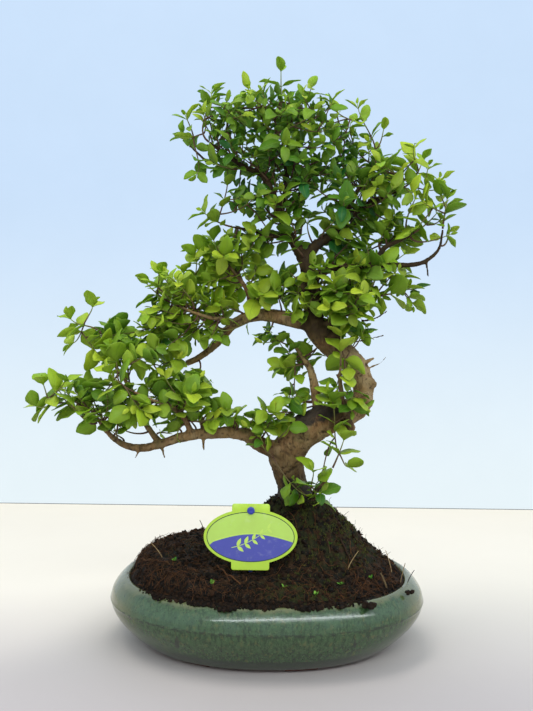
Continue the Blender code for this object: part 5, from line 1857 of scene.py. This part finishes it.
def spray_twigs(shoots, finish):
    """The twigs of one spray, greener towards their tips."""
    lines = [twig_path(shoot) for shoot in shoots]
    twigs = rods("twigs", lines)
    greens = []
    for shoot, line in zip(shoots, lines):
        # The tip takes the leaves' painted light and shade along with its age.
        young = youth_and_light_of(shoot.stations[-1][0], 0, shoot.luck)
        for i in range(len(line)):
            share = i / (len(line) - 1)
            greens += [min(1, young * share**1.5 + 0.45 * max(0, share - 0.75) * 4)] * rod_sides(1)
    mark(twigs, "youth", greens)
    give(twigs, finish)
    return twigs


def build_foliage(look, growth, model_count):
    patterns = leaf_patterns(look.thickness * METRES)
    leaf_finish, twig_finish = make_leaf_finish(look), make_twig_finish(look)
    name_nodes(growth, model_count)
    draw = random.Random(91)
    shoots, blades = collections.defaultdict(list), collections.defaultdict(list)
    for shoot in growth.shoots:
        shoot.luck = draw.gauss(0, 0.15)
        shoots[shoot.node].append(shoot)
    for owner, leaf, order in growth.leaves:
        blades[owner.node].append((owner, leaf, order))
    for name in sorted(shoots):
        leaves = spray_leaves(name.replace("spray", "leaves"), blades[name], patterns, draw, leaf_finish)
        foliage = join(leaves, spray_twigs(shoots[name], twig_finish))
        slot = "leaf_young" if "young" in frame["nodes"][name].data.materials[0].name else "leaf_old"
        finish_piece(foliage, slot, name)


# The label
LABEL_STEPS, TAB_CORNER = 26, 2.2
EDGE_SHRINK, EDGE_DEPTH = 0.35, 0.3  # how far the plate's rounded edge draws in, and over which thickness
RIM_OVAL, LINE_OVAL = (39.4, 22.1), (38.7, 21.4)
# How far the prints stand out, so that each covers what it is printed over
LINE_UP, FIELD_UP, STRIPE_UP, GROUND_UP, SPRIG_UP = 0.09, 0.14, 0.18, 0.19, 0.26
GROUND_FROM, GROUND_TO, HILL = math.radians(196), math.radians(352), 7.5
STRIPE_BAND, STEM_BAND = (0.35, 1.15), (-0.28, 0.28)  # from and to, over the line that each follows
SPRIG_BLADES = ((8.4, 66), (8.0, -38))  # (length, degrees), on either side of the stem
ROD_SIDES = 28
BUTTON = (  # (forward of the plate, radius)
    (-0.05, PEG_RADIUS), (0, 3.1), (0.15, 3.4), (0.8, 3.4), (1.15, 3.2), (1.45, 2.7), (1.6, 2.0),
    (1.45, 1.2), (1.35, 0.6),
)


def label_ring(forward, shrink):
    """The plate's edge, finer than the model's and drawn in by shrink, at a place forward of its middle."""
    start = math.asin(TAB_HALF_X / LABEL_HALF_X)
    corner_x, corner_z = TAB_HALF_X - TAB_CORNER, TAB_HALF_Z - TAB_CORNER
    quarter = [(0, TAB_HALF_Z), (corner_x, TAB_HALF_Z)]
    for i in range(1, 5):
        angle = math.pi / 2 * i / 5
        quarter.append((corner_x + TAB_CORNER * math.sin(angle), corner_z + TAB_CORNER * math.cos(angle)))
    quarter.append((TAB_HALF_X, corner_z))
    for i in range(LABEL_STEPS + 1):
        angle = start + (math.pi / 2 - start) * i / LABEL_STEPS
        quarter.append((LABEL_HALF_X * math.sin(angle), LABEL_HALF_Z * math.cos(angle)))
    right = quarter + [(x, -z) for x, z in quarter[-2::-1]]
    edge = right + [(-x, z) for x, z in right[-2:0:-1]]
    wide, high = 1 - shrink / LABEL_HALF_X, 1 - shrink / LABEL_HALF_Z
    return [on_label(x * wide, forward, z * high) for x, z in edge]


def printed(name, outline, finish, height):
    """A thin flat shape on the front of the plate, from (x, z) points in the plate's own axes."""
    front = LABEL_THICK / 2
    rings = [[on_label(x, forward, z) for x, z in outline] for forward in (front - 0.05, front + height)]
    shape = loft(name, rings)
    give(shape, finish)
    return shape


def oval_points(half_x, half_z, count=72, first=0.0, last=math.tau):
    angles = (first + (last - first) * i / count for i in range(count))
    return [(half_x * math.cos(angle), half_z * math.sin(angle)) for angle in angles]


def band(line, low, high):
    """The outline of a strip that follows a line, between these heights over it."""
    return [(x, z + low) for x, z in line] + [(x, z + high) for x, z in line[::-1]]


def almond(x, z, length, turn):
    """The outline of a small leaf from its foot."""
    found = []
    cos, sin = math.cos(turn), math.sin(turn)
    for i in range(16):
        s = i / 8 if i <= 8 else (16 - i) / 8
        a, b = s * length, length * 0.42 / 2 * math.sin(math.pi * s**0.85) * (1 if i <= 8 else -1)
        found.append((x + a * cos - b * sin, z + a * sin + b * cos))
    return found


def build_label(look):
    back, front = -LABEL_THICK / 2, LABEL_THICK / 2
    edges = ((back, EDGE_SHRINK), (back + EDGE_DEPTH, 0), (front - EDGE_DEPTH, 0), (front, EDGE_SHRINK))
    plate = loft("label_board", [label_ring(forward, shrink) for forward, shrink in edges])
    colours = ("lime", "line", "pale", "deep", "sprig")
    lime, line, pale, deep, sprig = (make_plastic("label_" + key, getattr(look, key)) for key in colours)
    give(plate, lime)
    lower = oval_points(*LINE_OVAL, 40, GROUND_FROM, GROUND_TO)
    (left_x, left_z), (right_x, right_z) = lower[0], lower[-1]
    crest = []
    for s in (i / 20 for i in range(21)):
        hill = HILL * math.sin(math.pi * s)
        crest.append((right_x + (left_x - right_x) * s, right_z + (left_z - right_z) * s + hill))
    stem = [(-17 + 1.7 * i, -9.5 + 0.030 * i**2 + 0.30 * i) for i in range(20)]
    shapes = [
        printed("line", oval_points(*RIM_OVAL), line, LINE_UP),
        printed("field", oval_points(*LINE_OVAL), pale, FIELD_UP),
        printed("ground", [*lower[1:], *crest[:-1]], deep, GROUND_UP),
        printed("stripe", band(crest[1:-1], *STRIPE_BAND), sprig, STRIPE_UP),
        printed("stem", band(stem, *STEM_BAND), sprig, SPRIG_UP),
    ]
    for i in range(3, 20, 4):
        for length, degrees in SPRIG_BLADES:
            blade = almond(*stem[i], length - i * 0.15, math.radians(degrees))
            shapes.append(printed("blade", blade, sprig, SPRIG_UP))
    turn = (math.radians(90 - LABEL_LEAN), 0, 0)
    drill((plate, *shapes[:2]), 24, PEG_RADIUS + FIT_GAP, 8, on_label(0, 0, PEG_HEIGHT), turn)
    finish_piece(join(plate, *shapes), "label_print", "label_plate", angle=35)


def build_stick(look):
    top, front = on_label(0, -PEG_BACK, PEG_HEIGHT), LABEL_THICK / 2 + FIT_GAP
    end = top.z + STICK_RADIUS
    profile = (
        (STICK_FOOT_Z, STICK_RADIUS * 0.6), (STICK_FOOT_Z + 4, STICK_RADIUS), (end - 0.8, STICK_RADIUS),
        (end - 0.25, STICK_RADIUS * 0.86), (end, STICK_RADIUS * 0.55),
    )
    across = Vector((1, 0, 0))
    rod = loft("label_rod", [ring(Vector((top.x, top.y, z)), UP, across, r, ROD_SIDES) for z, r in profile])
    peg = [(-PEG_BACK, 1.2), (-PEG_BACK + 0.4, PEG_RADIUS), *((front + f, r) for f, r in BUTTON)]
    rings = []
    for forward, radius in peg:
        circle = oval_points(radius, radius, ROD_SIDES)
        rings.append([on_label(x, forward, PEG_HEIGHT + z) for x, z in circle])
    stick = join(rod, loft("label_button", rings))
    finish = make_plastic("label_blue", look.stick, 0.3)
    finish_piece(stick, "label_stick", "label_stick", finish=finish, angle=40)


# The camera, the table and the light, in metres
CAMERA_PLACE, CAMERA_DIP, CAMERA_ROLL = (-0.0033, -0.768, 0.306), 2.54, 0.72  # dip and roll in degrees
SENSOR, LENS = 36, 36 * 800 / 711  # in millimetres
WALL_Y, WALL_TOP, STAGE_REACH = 0.534, 2.2, 2.5
SEAM_GAP, SEAM_TOP = 0.001, 0.0011
CEILING = ((-0.2, 0.10, 1.5), (-0.05, 0, 0), (1.5, 0.4))  # (place, target, size)
LAMP = ((0.55, -1.45, 1.42), (0.1, 0, 0), (3.4, 0.12))  # (place, target, size)
WARM_LIGHT, COOL_LIGHT, ROOM_LIGHT = (1.0, 0.985, 0.94), (0.90, 0.96, 1.0), (0.82, 0.91, 1.0, 1)


def sheet_of_stage(name, finish, near, far):
    """A wide flat sheet between two lines that run across the view, each as (y, z)."""
    deselect()
    bpy.ops.mesh.primitive_plane_add(size=1)
    obj = bpy.context.object
    obj.name = obj.data.name = name
    corners = [(x, *line) for line in (near, far) for x in (-STAGE_REACH, STAGE_REACH)]
    for vert, corner in zip(obj.data.vertices, corners):
        vert.co = corner
    give(obj, finish)


def area_light(name, place, target, size, power, colour):
    data = bpy.data.lights.new(name, "AREA")
    data.shape, data.energy, data.color = "RECTANGLE", power, colour
    data.size, data.size_y = size
    lamp = new_object(name, data)
    lamp.location = place
    lamp.rotation_euler = (Vector(target) - Vector(place)).to_track_quat("-Z", "Y").to_euler()
    return lamp


def build_stage(look):
    # Painted shade: the table darkens towards the front, where the light falls off.
    table = make_backdrop("table", look.table_near_shade, look.table, -0.2, 0.2)
    sheet_of_stage("table", table, (-STAGE_REACH, 0), (STAGE_REACH, 0))
    # Painted light: the wall glows by itself, whiter near the table.
    wall = make_backdrop("wall", look.wall_low_light, look.wall, WALL_Y, WALL_Y + 0.55, 0.92)
    sheet_of_stage("wall", wall, (WALL_Y, 0), (WALL_Y, WALL_TOP))
    # Painted shadow: a thin dark strip where the table meets the wall.
    seam = make_backdrop("seam", look.seam, look.seam, 0, 1)
    seam_y = WALL_Y - SEAM_GAP
    sheet_of_stage("seam", seam, (seam_y, 0), (seam_y, SEAM_TOP))
    ceiling = area_light("ceiling", *CEILING, look.key, WARM_LIGHT)
    ceiling.visible_glossy = False
    area_light("lamp", *LAMP, look.fill, COOL_LIGHT)
    world = bpy.data.worlds.new("room")
    world.use_nodes = True
    ambient = world.node_tree.nodes["Background"].inputs
    ambient["Color"].default_value = ROOM_LIGHT
    ambient["Strength"].default_value = look.ambient
    scene = bpy.context.scene
    scene.world = world
    scene.view_settings.view_transform = "Standard"
    data = bpy.data.cameras.new("camera")
    data.sensor_width, data.lens, data.clip_start = SENSOR, LENS, 0.01
    scene.camera = new_object("camera", data)
    scene.camera.matrix_world = (
        Matrix.Translation(CAMERA_PLACE)
        @ Matrix.Rotation(math.radians(90 - CAMERA_DIP), 4, "X")
        @ Matrix.Rotation(math.radians(CAMERA_ROLL), 4, "Z")
    )


# The add-on
def colour_prop(name, description, *colour):
    return bpy.props.FloatVectorProperty(
        name=name, description=description, subtype="COLOR", size=3, min=0, max=1, default=tint(*colour)
    )


def number_prop(name, description, default, **limits):
    return bpy.props.FloatProperty(name=name, description=description, default=default, **limits)


class PotSettings(bpy.types.PropertyGroup):
    glaze: colour_prop("Glaze", "The celadon glaze", 58, 84, 50)
    streak: colour_prop("Streaks", "Fine dark streaks in the glaze", 38, 58, 34)
    light: colour_prop("Pale streaks", "Fine pale streaks in the glaze", 90, 114, 74)
    # Painted reflection of the sky, in bluish clouds on the shoulder below the rim
    sky_sheen: colour_prop("Cool clouds", "Bluish clouds below the rim", 68, 94, 70)
    warm: colour_prop("Warm ends", "Olive brown at the pot's ends", 96, 96, 54)
    rim: colour_prop("Rim", "The thinner glaze on the rim", 110, 110, 76)
    # Painted shade: the dark line in the low crease, and the darker band towards the foot
    shade: colour_prop("Low line", "The dark line above the foot", 40, 46, 38)
    foot_shade: colour_prop("Low band", "The greyer band above the foot", 38, 45, 40)
    speck: colour_prop("Specks", "Dark specks of iron", 34, 40, 32)
    foot: colour_prop("Foot", "The unglazed clay", 92, 46, 32)


class SoilSettings(bpy.types.PropertyGroup):
    earth: colour_prop("Earth", "The dark potting soil", 17, 12, 7)
    rust: colour_prop("Rust", "Rusty fibrous patches", 54, 34, 18)
    fleck: colour_prop("Flecks", "Pale grit", 98, 78, 50)
    moss: colour_prop("Moss", "Dark moss", 42, 46, 18)
    moss_light: colour_prop("Light moss", "Moss tips", 84, 88, 34)
    seedling: colour_prop("Seedlings", "The darkest seedlings", 58, 104, 30)
    seedling_light: colour_prop("Light seedlings", "The lightest seedlings", 120, 164, 60)
    root_dark: colour_prop("Dark roots", "Old fine roots", 38, 25, 15)
    root_light: colour_prop("Light roots", "Fresh fine roots", 98, 63, 35)
    stalk: colour_prop("Stalks", "Dead stalks", 168, 142, 100)


class WoodSettings(bpy.types.PropertyGroup):
    bark: colour_prop("Bark", "Warm tan bark", 146, 115, 71)
    fissure: colour_prop("Fissures", "The dark hollows of the bark", 56, 42, 26)
    brown: colour_prop("Brown bark", "The darker bark of the crown", 58, 44, 23)
    ruddy: colour_prop("Ruddy bark", "Where the outer bark has flaked off", 118, 76, 46)
    algae: colour_prop("Algae", "A thin green film on the bark", 92, 94, 52)
    stain: colour_prop("Stain", "Charcoal stains", 46, 42, 39)
    pale: colour_prop("Pale wood", "Worn pale places", 164, 142, 102)
    moss: colour_prop("Foot moss", "Dark green at the trunk's foot", 58, 56, 30)


class FoliageSettings(bpy.types.PropertyGroup):
    old_dark: colour_prop("Old leaves, dark", "The darkest old leaves", 58, 112, 24)
    old_light: colour_prop("Old leaves, light", "The lightest old leaves", 122, 174, 42)
    old_cool: colour_prop("Old leaves, cool", "A bluer green that some old leaves have", 40, 114, 50)
    young_dark: colour_prop("New leaves, dark", "The darkest new leaves", 152, 190, 42)
    young_light: colour_prop("New leaves, light", "The lightest new leaves", 208, 222, 62)
    vein: colour_prop("Veins", "The midrib and side veins", 156, 188, 74)
    underside: colour_prop("Undersides", "The paler lower side", 112, 150, 58)
    glow: colour_prop("Glow", "Light that comes through a leaf", 166, 204, 14)
    twig_old: colour_prop("Twigs", "Woody twigs", 88, 56, 42)
    twig_young: colour_prop("Twig tips", "Green twig tips", 142, 158, 58)
    clearness: number_prop("Clearness", "Share of the light that passes through a leaf", 0.36, min=0, max=1)
    thickness: number_prop("Thickness", "Of a leaf, in mm", 0.3, min=0.1, max=1)


class LabelSettings(bpy.types.PropertyGroup):
    lime: colour_prop("Lime", "The plate's rim", 176, 208, 58)
    line: colour_prop("Line", "The thin dark line", 38, 62, 44)
    pale: colour_prop("Upper field", "The pale upper field", 178, 210, 92)
    deep: colour_prop("Lower field", "The blue-violet lower field", 74, 78, 160)
    sprig: colour_prop("Sprig", "The printed sprig and stripe", 190, 218, 96)
    stick: colour_prop("Stick", "The blue stick and button", 44, 58, 150)


class StageSettings(bpy.types.PropertyGroup):
    # Painted light: the wall's own glow, whiter near the table
    wall: colour_prop("Wall", "The pale wall", 203, 227, 254)
    wall_low_light: colour_prop("Wall, low", "The wall near the table", 235, 248, 254)
    table: colour_prop("Table", "The pale table", 228, 218, 203)
    # Painted shade: the table darkens towards the front
    table_near_shade: colour_prop("Table, near", "The table in front", 180, 171, 169)
    # Painted shadow where the table meets the wall
    seam: colour_prop("Seam", "The line between table and wall", 120, 126, 132)
    key: number_prop("Ceiling", "Power of the ceiling light, in watts", 14)
    fill: number_prop("Lamp", "Power of the long lamp in front, in watts", 22)
    ambient: number_prop("Ambient", "Strength of the light from all round", 0.93)


def settings(name):
    return getattr(bpy.context.scene, "bonsai_" + name)


class BONSAI_OT_pot(bpy.types.Operator):
    """Make the glazed pot"""

    bl_idname = "bonsai.pot"
    bl_label = "Pot"

    def execute(self, context):
        build_pot(settings("pot"))
        return {"FINISHED"}


class BONSAI_OT_soil(bpy.types.Operator):
    """Make the soil, and all that lies or grows on it"""

    bl_idname = "bonsai.soil"
    bl_label = "Soil"

    def execute(self, context):
        for build in SOIL_PIECES:
            build(settings("soil"))
        return {"FINISHED"}


class BONSAI_OT_wood(bpy.types.Operator):
    """Make the trunk and limbs"""

    bl_idname = "bonsai.wood"
    bl_label = "Wood"

    def execute(self, context):
        build_wood(settings("wood"))
        return {"FINISHED"}


class BONSAI_OT_foliage(bpy.types.Operator):
    """Grow the leafy sprays"""

    bl_idname = "bonsai.foliage"
    bl_label = "Foliage"

    def execute(self, context):
        growth = Growth()
        model_count = growth.model_shoots()
        growth.finer_shoots()
        build_foliage(settings("foliage"), growth, model_count)
        return {"FINISHED"}


class BONSAI_OT_label(bpy.types.Operator):
    """Make the plant label and its stick"""

    bl_idname = "bonsai.label"
    bl_label = "Label"

    def execute(self, context):
        build_label(settings("label"))
        build_stick(settings("label"))
        return {"FINISHED"}


class BONSAI_OT_stage(bpy.types.Operator):
    """Set up the table, the wall, the light and the camera"""

    bl_idname = "bonsai.stage"
    bl_label = "Stage"

    def execute(self, context):
        build_stage(settings("stage"))
        return {"FINISHED"}


OPERATORS = (
    BONSAI_OT_pot, BONSAI_OT_soil, BONSAI_OT_wood, BONSAI_OT_foliage, BONSAI_OT_label, BONSAI_OT_stage,
)
GROUPS = {
    "pot": PotSettings, "soil": SoilSettings, "wood": WoodSettings, "foliage": FoliageSettings,
    "label": LabelSettings, "stage": StageSettings,
}


class BONSAI_PT_panel(bpy.types.Panel):
    """The bonsai's settings and its operators"""

    bl_label = "Bonsai"
    bl_space_type = "VIEW_3D"
    bl_region_type = "UI"
    bl_category = "Bonsai"

    def draw(self, context):
        for operator, name in zip(OPERATORS, GROUPS):
            box = self.layout.box()
            box.operator(operator.bl_idname)
            group = settings(name)
            for key in group.bl_rna.properties.keys():
                if key not in ("rna_type", "name"):
                    box.prop(group, key)


def register():
    for made in (*GROUPS.values(), *OPERATORS, BONSAI_PT_panel):
        bpy.utils.register_class(made)
    for name, made in GROUPS.items():
        setattr(bpy.types.Scene, "bonsai_" + name, bpy.props.PointerProperty(type=made))


def unregister():
    for name in GROUPS:
        delattr(bpy.types.Scene, "bonsai_" + name)
    for made in (BONSAI_PT_panel, *OPERATORS, *GROUPS.values()):
        bpy.utils.unregister_class(made)


def main():
    register()
    build_groups()
    bpy.ops.bonsai.stage()
    bpy.ops.bonsai.pot()
    bpy.ops.bonsai.soil()
    bpy.ops.bonsai.wood()
    bpy.ops.bonsai.foliage()
    bpy.ops.bonsai.label()


if __name__ == "__main__":
    main()
